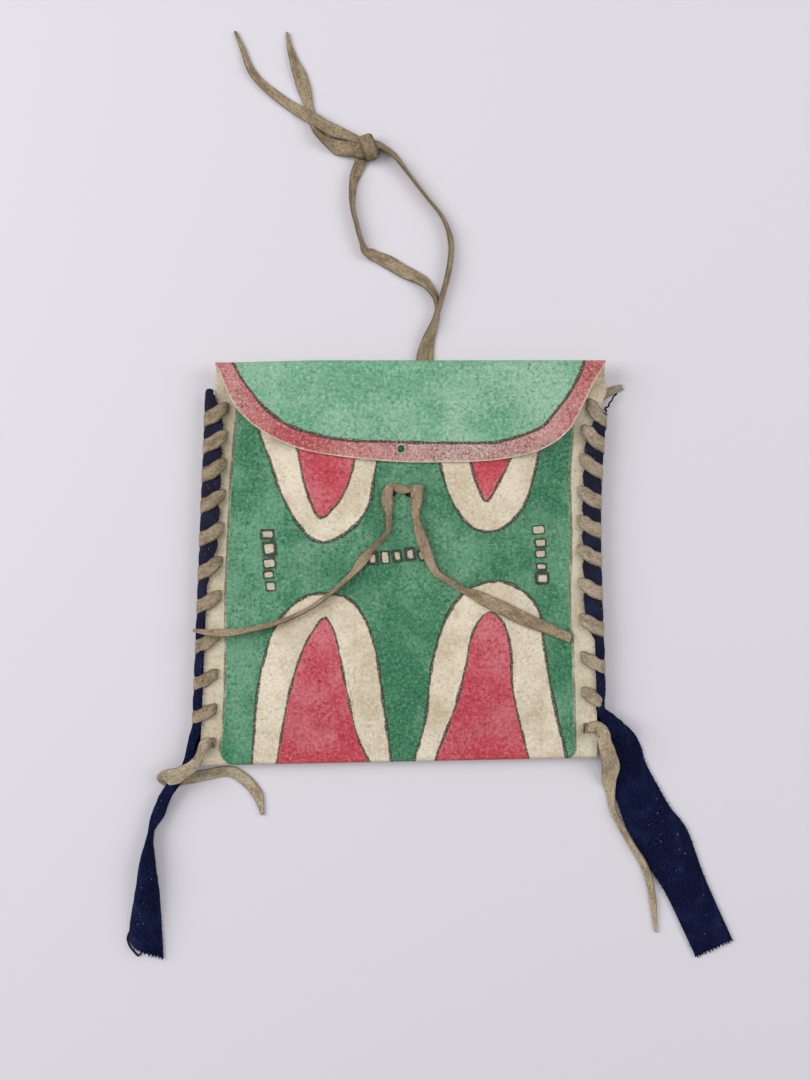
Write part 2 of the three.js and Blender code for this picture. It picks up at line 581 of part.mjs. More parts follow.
const RIGHT_LACE_ROUTE = [
  { at: [rightLast.x + 1.2, rightLast.y - 1.6, FRONT_SEAM + 2.6], width: 3.6 },
  { at: [80.6, -73.8, FRONT_SEAM + 3.2], width: 4.4 },
  { at: [84.2, -80.2, FRONT_SEAM + 2.0], width: 6.4 },
  { at: [86.2, -86.2, FRONT_SEAM - 0.8], width: 6.8 },
  { at: [85.6, -92.4, -0.1], width: 4.6 },
  onTable(86.8, -98.8, { width: 3.4 }),
  onTable(88.8, -104.6, { width: 3 }),
  onTable(97.0, -118.9, { width: 3 }),
  onTable(101.3, -126.8, { width: 3 }),
  onTable(104.0, -134.7, { width: 3.2 }),
  onTable(105.5, -142.7, { width: 3.2 }),
  onTable(107.2, -156.0, { width: 1.6 }),
];

// Assembly
const RAWHIDE = { color: '#ded2b6', roughness: 0.75 };
const WOOL_CLOTH = { color: '#171c40', roughness: 1 };
const BUCKSKIN = { color: '#a59678', roughness: 0.95 };
const envelope = new THREE.Group();
const add = (name, geometry, look) => {
  const mesh = new THREE.Mesh(geometry, new THREE.MeshStandardMaterial({ metalness: 0, ...look }));
  mesh.name = name;
  envelope.add(mesh);
};
add('rawhide_body', rawhideBody(), RAWHIDE);
add('flap', flapTongue(), RAWHIDE);
const leftWool = woolStrip(-1, TOP_FOLD - LEFT_WOOL_START, BOTTOM_FOLD + LEFT_SEAM_STOP, LEFT_TAIL);
const rightWool = woolStrip(1, TOP_FOLD - RIGHT_WOOL_START, BOTTOM_FOLD + RIGHT_SEAM_STOP, RIGHT_TAIL);
add('left_binding', leftWool, WOOL_CLOTH);
add('right_binding', rightWool, WOOL_CLOTH);
add('left_lacing', stitches(-1, leftStart), BUCKSKIN);
add('right_lacing', stitches(1, rightStart), BUCKSKIN);
add('left_lacing_tail', thong(LEFT_LACE_ROUTE, THONG_STEPS), BUCKSKIN);
add('right_lacing_tail', thong(RIGHT_LACE_ROUTE, THONG_STEPS), BUCKSKIN);
add('front_tie', thong(TIE_ROUTE, THONG_STEPS), BUCKSKIN);
add('hanger_loop', hangerStrand(HANGER_ROUTE), BUCKSKIN);
add('hanger_knot', knotLump(), BUCKSKIN);
add('hanger_end_a', hangerStrand(END_A_ROUTE), BUCKSKIN);
add('hanger_end_b', hangerStrand(END_B_ROUTE), BUCKSKIN);

export default envelope;
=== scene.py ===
import math

import bmesh
import bpy
import numpy as np
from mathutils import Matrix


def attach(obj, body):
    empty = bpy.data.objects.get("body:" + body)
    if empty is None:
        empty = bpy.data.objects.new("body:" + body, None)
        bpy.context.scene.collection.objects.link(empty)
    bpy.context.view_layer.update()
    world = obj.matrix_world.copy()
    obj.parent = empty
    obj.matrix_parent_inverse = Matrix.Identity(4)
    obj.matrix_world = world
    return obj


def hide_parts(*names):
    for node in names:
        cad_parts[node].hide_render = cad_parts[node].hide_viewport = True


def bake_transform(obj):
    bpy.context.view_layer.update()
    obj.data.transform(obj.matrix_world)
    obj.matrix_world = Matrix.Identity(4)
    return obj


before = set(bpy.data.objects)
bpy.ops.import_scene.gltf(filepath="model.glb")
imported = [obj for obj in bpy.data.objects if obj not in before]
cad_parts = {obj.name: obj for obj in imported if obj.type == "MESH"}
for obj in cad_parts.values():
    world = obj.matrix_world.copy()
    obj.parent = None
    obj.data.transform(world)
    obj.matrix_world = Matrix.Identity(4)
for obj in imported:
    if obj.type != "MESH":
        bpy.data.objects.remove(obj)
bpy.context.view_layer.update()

# Sizes in millimetres, as in the part's source
MM = 0.001
HIDE = 1.2
TOP_FOLD, BOTTOM_FOLD = 82.7, -83.3
TOP_WIDTH, BOTTOM_WIDTH = 161.6, 165.1
TOP_MIDDLE, BOTTOM_MIDDLE = 3.4, -1.5
BOTTOM_SLANT = 3.3
RIGHT_HOLLOW, HOLLOW_POWER = 4.1, 1.6
SEAM_MARGIN, SIDE_RISE, BOTTOM_RISE = 9, 30, 34
MOUTH_DROP = 8.5
FRONT_SEAM, SWELL = 3.4, 3.8
FLAP_DEPTH, FLAP_OUTER = 41.6, 8.7
FLAP_HOLE, FLAP_HOLE_X, FLAP_HOLE_RAISE = 3.2, -0.4, 5.5
WOOL, WOOL_WIDTH, WOOL_NOSE = 1.0, 17, 3.4
WOOL_START, SEAM_STOP = {-1: 11.5, 1: 21}, {-1: 15.5, 1: 22.0}  # for the left (-1) and the right (1) side
LACE_WIDTH, LACE = 5.0, 1.2
HOLE_INSET, STITCHES = 5.2, 11
FIRST_HOLE, LAST_HOLE, PITCH_POWER = 18.2, {-1: 9.3, 1: 15.8}, 1.1
HANGER_HOLES = [(4.6, 66, 3.4), (13.4, 66, 3.4)]  # middle and diameter
CLEAR = 0.3

# Sizes that the source hasn't got, or has more plainly
CORNER_BULGE, BULGE_HEIGHT, BULGE_REACH = 2.4, 72, 7  # of the right edge, just below its upper corner
FRONT_LIP, FRONT_LIP_LOW = 3.5, 0.1  # how far the wool reaches over the front
LIP_GOES = {-1: (12, -14), 1: (-22, -34)}  # heights between which that reach is lost
STITCH_SLOPE = {-1: (5.4, 3.6), 1: (6.8, 4.8)}  # drop of a stitch over the edge, high and low on the seam
SLOPE_CHANGE = {-1: (0.6, 0.9), 1: (0.1, 0.3)}  # shares of the seam between which the drop changes
STITCH_BROAD, LOW_BROAD = {-1: 5.8, 1: 6.0}, 5.4  # breadth of a stitch, and of the lowest ones
STITCH_THICK, TIE_THICK = 1.3, 0.85
TIE_HOLES = [(-4.4, 29.0, 4.0), (3.0, 28.9, 4.2)]  # middle and diameter
FRONT_CUT, BACK_CUT, FLAP_CUT = (3.6, 12), (-4, 2.6), (5, 12)  # lowest and highest point of a punch

# Levels that follow from those sizes
PANEL_TOP = FRONT_SEAM + SWELL
CREST = FLAP_OUTER / 2
TURN = FRONT_SEAM / 2
BACK_LAY = -(2 * CLEAR + WOOL + LACE / 2)
TABLE = BACK_LAY - LACE / 2
MOUTH = TOP_FOLD - MOUTH_DROP
FLAP_TIP = TOP_FOLD - FLAP_DEPTH
TIE_LIFT = PANEL_TOP + CLEAR + LACE / 2

UP = np.array([0.0, 0.0, 1.0])
RIGHT = np.array([1.0, 0.0, 0.0])
ALONG = np.array([0.0, 1.0, 0.0])

# Camera, straight above as in the photograph
PHOTO_SIZE = np.array([810, 1080])
FOCAL = 1012  # pixels
CAMERA = np.array([1.245, 9.13, 424])
SENSOR = 36

scene = bpy.context.scene
camera = bpy.data.objects.new("camera", bpy.data.cameras.new("camera"))
scene.collection.objects.link(camera)
camera.location = CAMERA * MM
camera.data.sensor_width = SENSOR
camera.data.lens = SENSOR * FOCAL / PHOTO_SIZE[1]
camera.data.clip_start = 0.01
scene.camera = camera


def lerp(low, high, share):
    return low + (high - low) * share


def smooth(value, low, high):
    share = np.clip((value - low) / (high - low), 0, 1)
    return share * share * (3 - 2 * share)


def unit(vectors):
    return vectors / np.linalg.norm(vectors, axis=-1, keepdims=True)


# Outline and height of the pouch
def side_edge(side, y):
    up = (y - BOTTOM_FOLD) / (TOP_FOLD - BOTTOM_FOLD)
    half = lerp(BOTTOM_WIDTH, TOP_WIDTH, up) / 2
    middle = lerp(BOTTOM_MIDDLE, TOP_MIDDLE, up)
    if side < 0:
        return middle - half
    hollow = RIGHT_HOLLOW * np.sin(np.pi * np.clip(up, 0, 1) ** HOLLOW_POWER)
    return middle + half - hollow + CORNER_BULGE * np.exp(-((y - BULGE_HEIGHT) / BULGE_REACH) ** 2)


def bottom_at(share):
    return BOTTOM_FOLD + BOTTOM_SLANT * (share - 0.5)


def front_face(x, y):
    left, right = side_edge(-1, y), side_edge(1, y)
    from_side = np.minimum(x - left, right - x)
    from_bottom = y - bottom_at((x - left) / (right - left)) - TURN
    sideways = smooth(from_side, SEAM_MARGIN, SEAM_MARGIN + SIDE_RISE)
    return FRONT_SEAM + SWELL * sideways * smooth(from_bottom, 0, BOTTOM_RISE)


def curve_through(points, steps):
    """A smooth curve through points of any dimension, with that many steps in each span."""
    inner = np.asarray(points, float)
    p = np.vstack([2 * inner[0] - inner[1], inner, 2 * inner[-1] - inner[-2]])
    spans = []
    for a, b, c, d in zip(p, p[1:], p[2:], p[3:]):
        t1 = np.linalg.norm(b - a) ** 0.5
        t2 = t1 + np.linalg.norm(c - b) ** 0.5
        t3 = t2 + np.linalg.norm(d - c) ** 0.5
        t = np.linspace(t1, t2, steps, endpoint=False)[:, None]
        ab = lerp(a, b, t / t1)
        bc = lerp(b, c, (t - t1) / (t2 - t1))
        cd = lerp(c, d, (t - t2) / (t3 - t2))
        abc = lerp(ab, bc, t / t2)
        bcd = lerp(bc, cd, (t - t1) / (t3 - t1))
        spans.append(lerp(abc, bcd, (t - t1) / (t2 - t1)))
    return np.vstack([*spans, inner[-1:]])


def drift(count, every, seed):
    """A slow random line between -1 and 1, for hand-cut edges."""
    turns = np.random.default_rng(seed).uniform(-1, 1, count // every + 2)
    return np.interp(np.arange(count) / every, np.arange(len(turns)), turns)


def wave(x, y, height, length):
    """A gentle unevenness, about that high up and down, that repeats nowhere in the part."""
    turn = 2 * np.pi / length
    first = np.sin(turn * (0.9 * x + 0.4 * y) + 1.1) * np.sin(turn * (0.7 * y - 0.3 * x) + 0.4)
    second = np.sin(turn * (1.7 * x - 0.8 * y) + 2.3) * np.sin(turn * (1.3 * y + 0.9 * x) + 5.1)
    return height * (0.65 * first + 0.35 * second)


# Meshes
SHARP = math.radians(50)  # faces that meet at more than this keep a hard edge


def store(mesh, attributes):
    """Gives the points of a mesh the numbers or vectors that its material reads."""
    for key, values in attributes.items():
        values = np.asarray(values, np.float32)
        is_vector = values.ndim == 2
        layer = mesh.attributes.new(key, "FLOAT_VECTOR" if is_vector else "FLOAT", "POINT")
        layer.data.foreach_set("vector" if is_vector else "value", values.ravel())


def mesh_object(name, points, faces, attributes):
    mesh = bpy.data.meshes.new(name)
    mesh.from_pydata((np.asarray(points) * MM).tolist(), [], faces)
    store(mesh, attributes)
    work = bmesh.new()
    work.from_mesh(mesh)
    bmesh.ops.recalc_face_normals(work, faces=work.faces)
    work.to_mesh(mesh)
    work.free()
    mesh.shade_smooth()
    mesh.set_sharp_from_angle(angle=SHARP)
    piece = bpy.data.objects.new(name, mesh)
    scene.collection.objects.link(piece)
    return piece


def tube_faces(rings, sides, first=0):
    faces = []
    for i in range(rings - 1):
        for j in range(sides):
            k = (j + 1) % sides
            row, following = first + i * sides, first + (i + 1) * sides
            faces.append((row + j, row + k, following + k, following + j))
    faces.append(tuple(first + j for j in range(sides)))
    faces.append(tuple(first + (rings - 1) * sides + j for j in range(sides)))
    return faces


def slab_faces(rows, columns):
    """Faces of a closed sheet whose outer grid of points is followed by its inner grid."""
    def outer(i, j):
        return i * columns + j

    def inner(i, j):
        return (rows + i) * columns + j

    faces = []
    for i in range(rows - 1):
        for j in range(columns - 1):
            faces.append((outer(i, j), outer(i + 1, j), outer(i + 1, j + 1), outer(i, j + 1)))
            faces.append((inner(i, j), inner(i, j + 1), inner(i + 1, j + 1), inner(i + 1, j)))
        for j in (0, columns - 1):
            faces.append((outer(i, j), inner(i, j), inner(i + 1, j), outer(i + 1, j)))
    for j in range(columns - 1):
        for i in (0, rows - 1):
            faces.append((outer(i, j), outer(i, j + 1), inner(i, j + 1), inner(i, j)))
    return faces


def slab(name, outer, inner, attributes):
    """A closed sheet between two grids of points. Each attribute has an outer and an inner grid."""
    rows, columns = outer.shape[:2]
    points = np.vstack([outer.reshape(-1, 3), inner.reshape(-1, 3)])
    flat = {key: np.concatenate([side.reshape(rows * columns, -1).squeeze() for side in pair])
            for key, pair in attributes.items()}
    return mesh_object(name, points, slab_faces(rows, columns), flat)


# Straps of buckskin
RING = 16  # points round a strap
UNEVEN_CUT = 0.09  # share of its width by which a hand-cut edge wanders
FRONT = None  # in place of a height, for a stop on the front panel


def stop(x, y, z, width, roll=0, across=None, thick=None):
    return {"at": (x, y, z), "width": width, "roll": roll, "across": across, "thick": thick}


def on_front(x, y, width, roll=0):
    rise = max(LACE / 2 + 0.1, width / 2 * abs(math.sin(math.radians(roll))))
    return stop(x, y, front_face(x, y) + CLEAR + rise, width, roll)


def stops_along(base, rows, across=None):
    """Stops from rows of x, y, height above a base, width and roll. Across is the direction of the first
    one's width."""
    stops = [on_front(x, y, *cut) if z is FRONT else stop(x, y, base + z, *cut) for x, y, z, *cut in rows]
    stops[0]["across"] = across
    return stops


def strap_rings(stops, steps, seed, thick=LACE, squareness=4.2):
    """Rings of a soft strap with hand-cut edges, its centreline, and its own coordinates."""
    line = curve_through([s["at"] for s in stops], steps)
    heading = unit(np.gradient(line, axis=0))
    across = []
    for s, ahead in zip(stops, heading[::steps]):
        level = unit(np.cross(ahead, UP)) if s["across"] is None else s["across"]
        roll = math.radians(s["roll"])
        across.append(level * math.cos(roll) + np.cross(ahead, level) * math.sin(roll))
    place = np.linspace(0, len(stops) - 1, len(line))
    knots = np.arange(len(stops))
    side = np.stack([np.interp(place, knots, column) for column in np.array(across).T], 1)
    side = unit(side - heading * np.sum(side * heading, 1, keepdims=True))
    face = np.cross(heading, side)
    half = np.interp(place, knots, [s["width"] for s in stops]) / 2
    deep = np.interp(place, knots, [s["thick"] or thick for s in stops]) / 2
    angle = 2 * np.pi * (np.arange(RING) + 0.5) / RING
    wide = np.sign(np.cos(angle)) * np.abs(np.cos(angle)) ** (2 / squareness)
    high = np.sign(np.sin(angle)) * np.abs(np.sin(angle)) ** (2 / squareness)
    cut = [1 + UNEVEN_CUT * drift(len(line), steps // 2 + 1, seed + k) for k in (0, 1)]
    reach = half[:, None] * np.where(wide < 0, cut[0][:, None], cut[1][:, None]) * wide
    rings = (line[:, None] + side[:, None] * reach[..., None]
             + face[:, None] * (deep[:, None] * high)[..., None])
    sunk = np.maximum(TABLE - rings[..., 2].min(1), 0)
    rings[..., 2] += sunk[:, None]
    line[:, 2] += sunk
    length = np.concatenate([[0], np.cumsum(np.linalg.norm(np.diff(line, axis=0), axis=1))])
    strip = np.stack(np.broadcast_arrays(length[:, None], reach, high), -1)
    return rings, line, strip


def tubes_object(name, tubes, strips):
    """One mesh of closed tubes, each of which is a stack of rings."""
    faces, count = [], 0
    for rings in tubes:
        faces += tube_faces(*rings.shape[:2], count)
        count += rings.shape[0] * rings.shape[1]
    points, strip = (np.vstack([rings.reshape(-1, 3) for rings in stack]) for stack in (tubes, strips))
    return mesh_object(name, points, faces, {"strip": strip})


def strap(name, stops, seed, steps=8, **shape):
    rings, line, strip = strap_rings(stops, steps, seed, **shape)
    return tubes_object(name, [rings], [strip]), line


def buckskin_piece(piece, material, *nodes):
    piece.data.materials.append(material)
    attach(piece, "pouch")
    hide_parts(*nodes)


def thong(name, seed, material, node, stops, far_end="bare", with_pieces=(), **shape):
    """A free thong: a strap along its stops, in its material, in place of its part of the model."""
    piece, line = strap(name, stops, seed, **shape)
    buckskin_piece(piece, material, node)


# Node materials
def colour(red, green, blue):
    """A colour written as on a screen, 0 to 255."""
    channels = np.array([red, green, blue]) / 255
    linear = np.where(channels <= 0.04045, channels / 12.92, ((channels + 0.055) / 1.055) ** 2.4)
    return (*linear.tolist(), 1.0)


def shade(tone, factor, lift=0):
    """A screen colour made darker or lighter."""
    return colour(*[min(255, factor * c + lift) for c in tone])


class Graph:
    """A node material built from short calls, each of which returns an output."""

    def __init__(self, name):
        self.material = bpy.data.materials.new(name)
        self.material.use_nodes = True
        self.tree = self.material.node_tree
        self.shader = self.tree.nodes["Principled BSDF"]

    def feed(self, socket, value):
        if isinstance(value, bpy.types.NodeSocket):
            self.tree.links.new(value, socket)
        else:
            socket.default_value = value

    def node(self, kind, inputs, output=0, **settings):
        node = self.tree.nodes.new(f"ShaderNode{kind}")
        for key, value in settings.items():
            setattr(node, key, value)
        for key, value in inputs.items():
            self.feed(node.inputs[key], value)
        return node.outputs[output]

    def number(self, name):
        return self.node("Attribute", {}, "Fac", attribute_name=name)

    def vector(self, name):
        return self.node("Attribute", {}, "Vector", attribute_name=name)

    def part(self, vector, axis):
        return self.node("SeparateXYZ", {"Vector": vector}, axis)

    def stretched(self, vector, *scale):
        return self.node("VectorMath", {0: vector, 1: scale}, "Vector", operation="MULTIPLY")

    def math(self, operation, first, second=0.0):
        return self.node("Math", {0: first, 1: second}, operation=operation)

    def plus(self, first, second):
        return self.math("ADD", first, second)

    def times(self, first, second):
        return self.math("MULTIPLY", first, second)

    def noise(self, vector, scale, detail=2.0, roughness=0.5):
        inputs = {"Vector": vector, "Scale": scale, "Detail": detail, "Roughness": roughness}
        return self.node("TexNoise", inputs, "Fac")

    def step(self, value, low, high, top=1.0):
        inputs = {"Value": value, "From Min": low, "From Max": high, "To Max": top}
        return self.node("MapRange", inputs, interpolation_type="SMOOTHSTEP")

    def mix(self, share, first, second):
        return self.node("Mix", {0: share, 6: first, 7: second}, 2, data_type="RGBA")

    def over(self, tone, paint, value, low, high, most=1.0):
        """A tone with a paint over it where a value goes from low to high."""
        return self.mix(self.step(value, low, high, most), tone, paint)

    def bump(self, height, distance):
        return self.node("Bump", {"Height": height, "Distance": distance * MM, "Strength": 1.0}, "Normal")

    def finish(self, base, roughness, normal, gloss):
        values = {"Base Color": base, "Roughness": roughness, "Normal": normal, "Specular IOR Level": gloss}
        for key, value in values.items():
            self.feed(self.shader.inputs[key], value)
        return self.material


def buckskin(name, light, dark):
    """Soft suede: short fibres along the strap, blotches, dark pores, and painted shade on its cut edges."""
    g = Graph(name)
    strip = g.vector("strip")
    nap = g.noise(g.stretched(strip, 0.55, 1.5, 1.0), 1.5, 3, 0.7)
    pores = g.noise(strip, 1.5, 3, 0.7)
    blotch = g.noise(g.stretched(strip, 0.16, 0.4, 0.6), 1.0, 3)
    face = g.math("ABSOLUTE", g.part(strip, "Z"))
    tone = g.over(colour(*dark), colour(*light), blotch, 0.34, 0.66)
    tone = g.over(tone, shade(dark, 0.62), nap, 0.5, 0.3, 0.6)
    tone = g.over(tone, shade(light, 1.18), nap, 0.52, 0.72, 0.6)
    tone = g.over(tone, shade(dark, 0.6), pores, 0.46, 0.32, 0.65)
    tone = g.over(tone, shade(light, 1.2), pores, 0.54, 0.7, 0.6)
    # Painted shade: where the height across the strap is small, on its cut edges, the suede turns darker.
    tone = g.over(tone, shade(dark, 0.62), face, 0.85, 0.5, 0.6)
    rough = g.math("MAXIMUM", g.step(nap, 0.2, 0.8), 0.85)
    return g.finish(tone, rough, g.bump(g.plus(nap, pores), 0.5), 0.12)


LACE_SKIN = buckskin("lace_buckskin", (192, 175, 148), (160, 142, 115))
PALE_SKIN = buckskin("pale_buckskin", (194, 179, 154), (162, 145, 119))
# The stitches are one suede in two copies: the left seam's is darker, as painted shade, and the right seam's
# is lighter, as painted light.
SHADED_LEFT_STITCH_SKIN = buckskin("left_stitch_buckskin_painted_shade", (170, 153, 129), (136, 119, 95))
LIT_RIGHT_STITCH_SKIN = buckskin("right_stitch_buckskin_painted_light", (188, 172, 150), (156, 140, 118))
TIE_SKIN = buckskin("tie_buckskin", (176, 156, 130), (146, 124, 98))
HANGER_SKIN = buckskin("hanger_buckskin", (174, 156, 128), (142, 123, 97))
KNOT_SKIN = buckskin("knot_buckskin", (156, 138, 111), (122, 104, 81))

# Tie on the front: its two loose legs, and the twisted bar between their upper ends
thong("tie_left_leg", 11, TIE_SKIN, "front_tie", stops_along(TIE_LIFT, [
    (-4.2, 32.2, -0.3, 2.2), (-5.3, 30.2, 0.7, 3.8, 10), (-6.1, 27.4, 0.6, 5.2, 4),
    (-6.0, 24.2, FRONT, 5.2, -8), (-5.5, 20.6, FRONT, 4.0, -44), (-5.4, 16.6, FRONT, 3.6, -54),
    (-5.6, 13.0, FRONT, 3.3, -56), (-6.9, 10.9, FRONT, 3.2, -56), (-10.4, 7.5, FRONT, 3.2, -54),
    (-13.8, 3.9, FRONT, 3.8, -40), (-16.2, 0.8, FRONT, 4.2, -12), (-19.6, -3.9, FRONT, 3.2, 44),
    (-24.9, -9.0, FRONT, 3.1, 60), (-37.4, -18.6, FRONT, 3.4, 68), (-48.9, -24.0, FRONT, 3.4, 66),
    (-61.7, -27.7, -0.3, 3.4, 58), (-75.6, -29.3, -0.1, 3.6, 26), (-86.0, -28.0, -0.3, 1.2, 10),
]), thick=TIE_THICK)
thong("tie_right_leg", 12, TIE_SKIN, "front_tie", stops_along(TIE_LIFT, [
    (6.0, 31.6, 0.2, 5.6), (6.1, 29.4, 0.8, 5.3), (6.1, 25.6, 0.6, 5.0, 8),
    (5.7, 21.3, FRONT, 4.4, 34), (5.9, 17.8, FRONT, 4.0, 52), (7.0, 13.4, FRONT, 4.4, 36),
    (8.6, 8.4, FRONT, 4.8, 12), (10.6, 3.0, FRONT, 4.6, 10), (14.0, -4.2, FRONT, 3.6, 30),
    (19.2, -7.6, FRONT, 3.2, 46), (25.2, -11.4, FRONT, 3.4, 40), (31.0, -13.9, FRONT, 4.6, 8),
    (38.4, -17.5, FRONT, 6.0), (47.4, -22.0, FRONT, 5.6), (59.2, -27.0, FRONT, 4.6),
    (70.0, -31.6, FRONT, 3.8),
]), thick=TIE_THICK)
tie_bar, _ = strap("tie_bar", stops_along(TIE_LIFT, [
    (-4.6, 30.9, 0.2, 3.0, 40), (-2.4, 30.6, 0.6, 3.8, 30), (0.4, 30.0, 0.6, 3.8, -5),
    (2.8, 29.7, 0.3, 3.0, -40), (5.2, 29.8, -0.3, 2.6, -50),
]), 13, steps=6, thick=TIE_THICK)
buckskin_piece(tie_bar, TIE_SKIN, "front_tie")

# Loose ends of the lacing
SEAM = FRONT_SEAM - TABLE  # height of the front at the seam
thong("left_lace_tail", 21, PALE_SKIN, "left_lacing_tail", stops_along(TABLE, [
    (-79.7, -74.6, SEAM - 0.2, 3.4), (-81.5, -75.0, SEAM + 1.8, 4.8, 16),
    (-83.0, -78.4, SEAM + 2.1, 3.8, -35), (-84.6, -82.0, SEAM + 2.1, 4.0, -25),
    (-88.0, -85.6, SEAM + 2.3, 5.2), (-92.6, -88.0, SEAM + 2.2, 6.6), (-97.2, -89.4, SEAM + 1.0, 6.8),
    (-100.0, -90.8, 3.4, 5.6), (-97.6, -92.4, 0.8, 4.4), (-91.0, -91.6, 0, 4.4), (-81.8, -89.6, 0, 4.6),
    (-72.6, -88.4, 0, 4.6), (-66.2, -91.6, 0, 4.8), (-60.9, -98.2, 0, 4.6), (-58.7, -106.6, 0, 1.4),
], ALONG))
thong("right_lace_tail", 22, LACE_SKIN, "right_lacing_tail", stops_along(TABLE, [
    (76.2, -69.0, SEAM - 0.2, 4.0), (78.4, -68.4, SEAM + 1.7, 4.6, -20), (80.7, -67.8, SEAM + 2.7, 5.0, -46),
    (82.5, -70.0, SEAM + 3.1, 5.6, 6), (83.6, -74.8, SEAM + 2.8, 5.8, 12), (85.6, -80.0, SEAM + 1.8, 7.0),
    (86.9, -85.4, SEAM - 0.8, 7.6), (86.8, -91.6, 2.6, 6.4, 10), (87.8, -98.4, 0.4, 3.8, 40),
    (88.7, -104.4, 0, 3.6, 52), (96.5, -118.9, 0, 3.6, 50), (101.4, -126.8, 0, 3.6, 40),
    (104.1, -134.7, 0, 3.4, 44), (105.6, -142.7, 0, 3.0, 34), (107.2, -156.0, 0, 1.0),
], ALONG))


# Hanging thong: knot, loop of two strands, and two ends
def joined_straps(name, routes, seed, **shape):
    """Several straps in one mesh."""
    straps = [strap_rings(stops, steps, seed + 3 * k, **shape) for k, (stops, steps) in enumerate(routes)]
    return tubes_object(name, [rings for rings, _, _ in straps], [strip for _, _, strip in straps])


KNOT = np.array([-14.6, 173.0, TABLE + 3.4])
KNOT_WAY = unit(np.array([1.0, 0.42, 0.0]))  # along the strands that the wrap holds
KNOT_UP = np.cross(UP, KNOT_WAY)
WRAP_WIDE, WRAP_HIGH, WRAP_THICK = 4.9, 2.8, 1.6
WRAP_TURN, WRAP_STEP = 205, 41  # degrees to each side of the top, and between two stops


def knot_wrap():
    stops = []
    for degrees in range(-WRAP_TURN, WRAP_TURN + 1, WRAP_STEP):
        angle = math.radians(degrees)
        ring = KNOT_UP * WRAP_WIDE * math.cos(angle) + UP * WRAP_HIGH * math.sin(angle)
        at = KNOT + ring + KNOT_WAY * (0.8 - degrees * 0.002)
        stops.append(stop(*at, 5.0 + 1.6 * abs(math.sin(angle)), 0, KNOT_WAY, WRAP_THICK))
    return stops


def knot_core():
    sections = ((-5.6, 5.0, 2.6), (-3.0, 7.2, 4.2), (0, 8.2, 4.8), (3, 6.4, 4.0), (4.6, 4, 2.4))
    return [stop(*(KNOT + KNOT_WAY * along - UP * 0.2), wide, 0, KNOT_UP, high)
            for along, wide, high in sections]


knot = joined_straps("hanger_knot_wrap", [(knot_wrap(), 4), (knot_core(), 4)], 31, squareness=2.2)
buckskin_piece(knot, KNOT_SKIN, "hanger_knot")

BEHIND = BACK_LAY - TABLE  # height of what lies on the back panel
OVER_STRAP = 1.5 * LACE + 2 * CLEAR
thong("hanger_left_strand", 41, HANGER_SKIN, "hanger_loop", stops_along(TABLE, [
    (13.4, 66.2, 2.4, 3.0), (12.9, 70.6, BEHIND, 4.2), (11.4, 78.0, BEHIND, 4.6), (10.6, 85.8, 0, 4.8),
    (11.7, 94.6, 0, 4.6, 15), (14.2, 101.4, 0, 4.2, 50), (14.9, 106.0, 0, 4.2, 68), (14.0, 110.8, 0, 4.4, 60),
    (9.4, 117.4, 0, 5.2, 28), (2.0, 121.7, 0, 5.6, 5), (-6.2, 126.4, 0, 5.6), (-12.2, 129.0, 0, 5.2, 12),
    (-15.4, 130.6, 0, 4.6, 42), (-16.7, 133.8, 0, 4.2, 66), (-18.8, 140.6, 0, 4.2, 70),
    (-20.8, 150.0, 0, 4.2, 68), (-20.2, 160.0, 0, 4.8, 50), (-17.6, 167.0, 1.4, 5.2, 20),
    (-16.6, 171.0, 3.0, 4.6, 10),
], RIGHT), far_end="knot", with_pieces=[knot])
thong("hanger_right_strand", 42, HANGER_SKIN, "hanger_loop", stops_along(TABLE, [
    (4.6, 66.2, 2.4, 3.0), (5.2, 70.6, BEHIND, 4.2), (6.8, 78.0, BEHIND + 0.6, 4.4),
    (8.4, 85.8, 1.5, 4.6, 10), (10.2, 92.4, 1.8, 4.4, 30), (13.6, 101.0, 2.4, 4.0, 62),
    (17.2, 112.6, 0, 4.2, 68), (20.3, 126.2, 0, 4.4, 66), (20.4, 135.4, 0, 4.4, 60),
    (17.2, 144.2, 0, 4.4, 68), (9.6, 154.0, 0, 4.4, 70), (2.1, 163.6, 0, 4.4, 68),
    (-4.4, 171.8, 0.6, 4.6, 55), (-10.0, 174.6, 2.8, 4.4, 34), (-13.6, 174.4, 3.2, 4.0, 20),
], RIGHT), far_end="knot", with_pieces=[knot])
thong("hanger_end_a_thong", 43, HANGER_SKIN, "hanger_end_a", stops_along(TABLE, [
    (-15.8, 175.2, 3.0, 4.0, 20), (-21.0, 177.9, 2.4, 4.4, 16), (-28.6, 180.9, OVER_STRAP, 5.2),
    (-37.0, 185.6, OVER_STRAP, 5.4), (-44.8, 190.6, 1.0, 4.8), (-53.0, 196.2, 0, 4.2, 10),
    (-61.0, 203.3, 0, 3.4, 20), (-64.5, 208.8, 0, 3.2, 30), (-67.3, 216.2, 0, 2.2, 25),
    (-70.3, 223.2, 0, 1.0, 10),
]))
thong("hanger_end_b_thong", 44, HANGER_SKIN, "hanger_end_b", stops_along(TABLE, [
    (-16.0, 172.6, 2.8, 5.4), (-21.6, 173.0, 2.6, 6.4), (-27.4, 174.8, 0.6, 6.6), (-33.8, 178.3, 0, 5.6, 52),
    (-37.5, 184.8, 0, 4.4, 36), (-39.4, 192.4, 0, 3.8), (-41.2, 199.0, 0, 5.6), (-43.2, 205.0, 0, 5.6, 10),
    (-45.6, 211.4, 0, 3.6, 20), (-47.4, 217.0, 0, 2.2, 20), (-48.4, 222.8, 0, 1.0, 10),
]))


# Whip stitches of the lacing
def lip_at(side, y):
    """How far the wool reaches over the front: little at its upper end, and less again down the seam."""
    down = TOP_FOLD - WOOL_START[side] - y
    return lerp(FRONT_LIP_LOW, FRONT_LIP, smooth(down, -1, 12) * (1 - smooth(y, *LIP_GOES[side])))


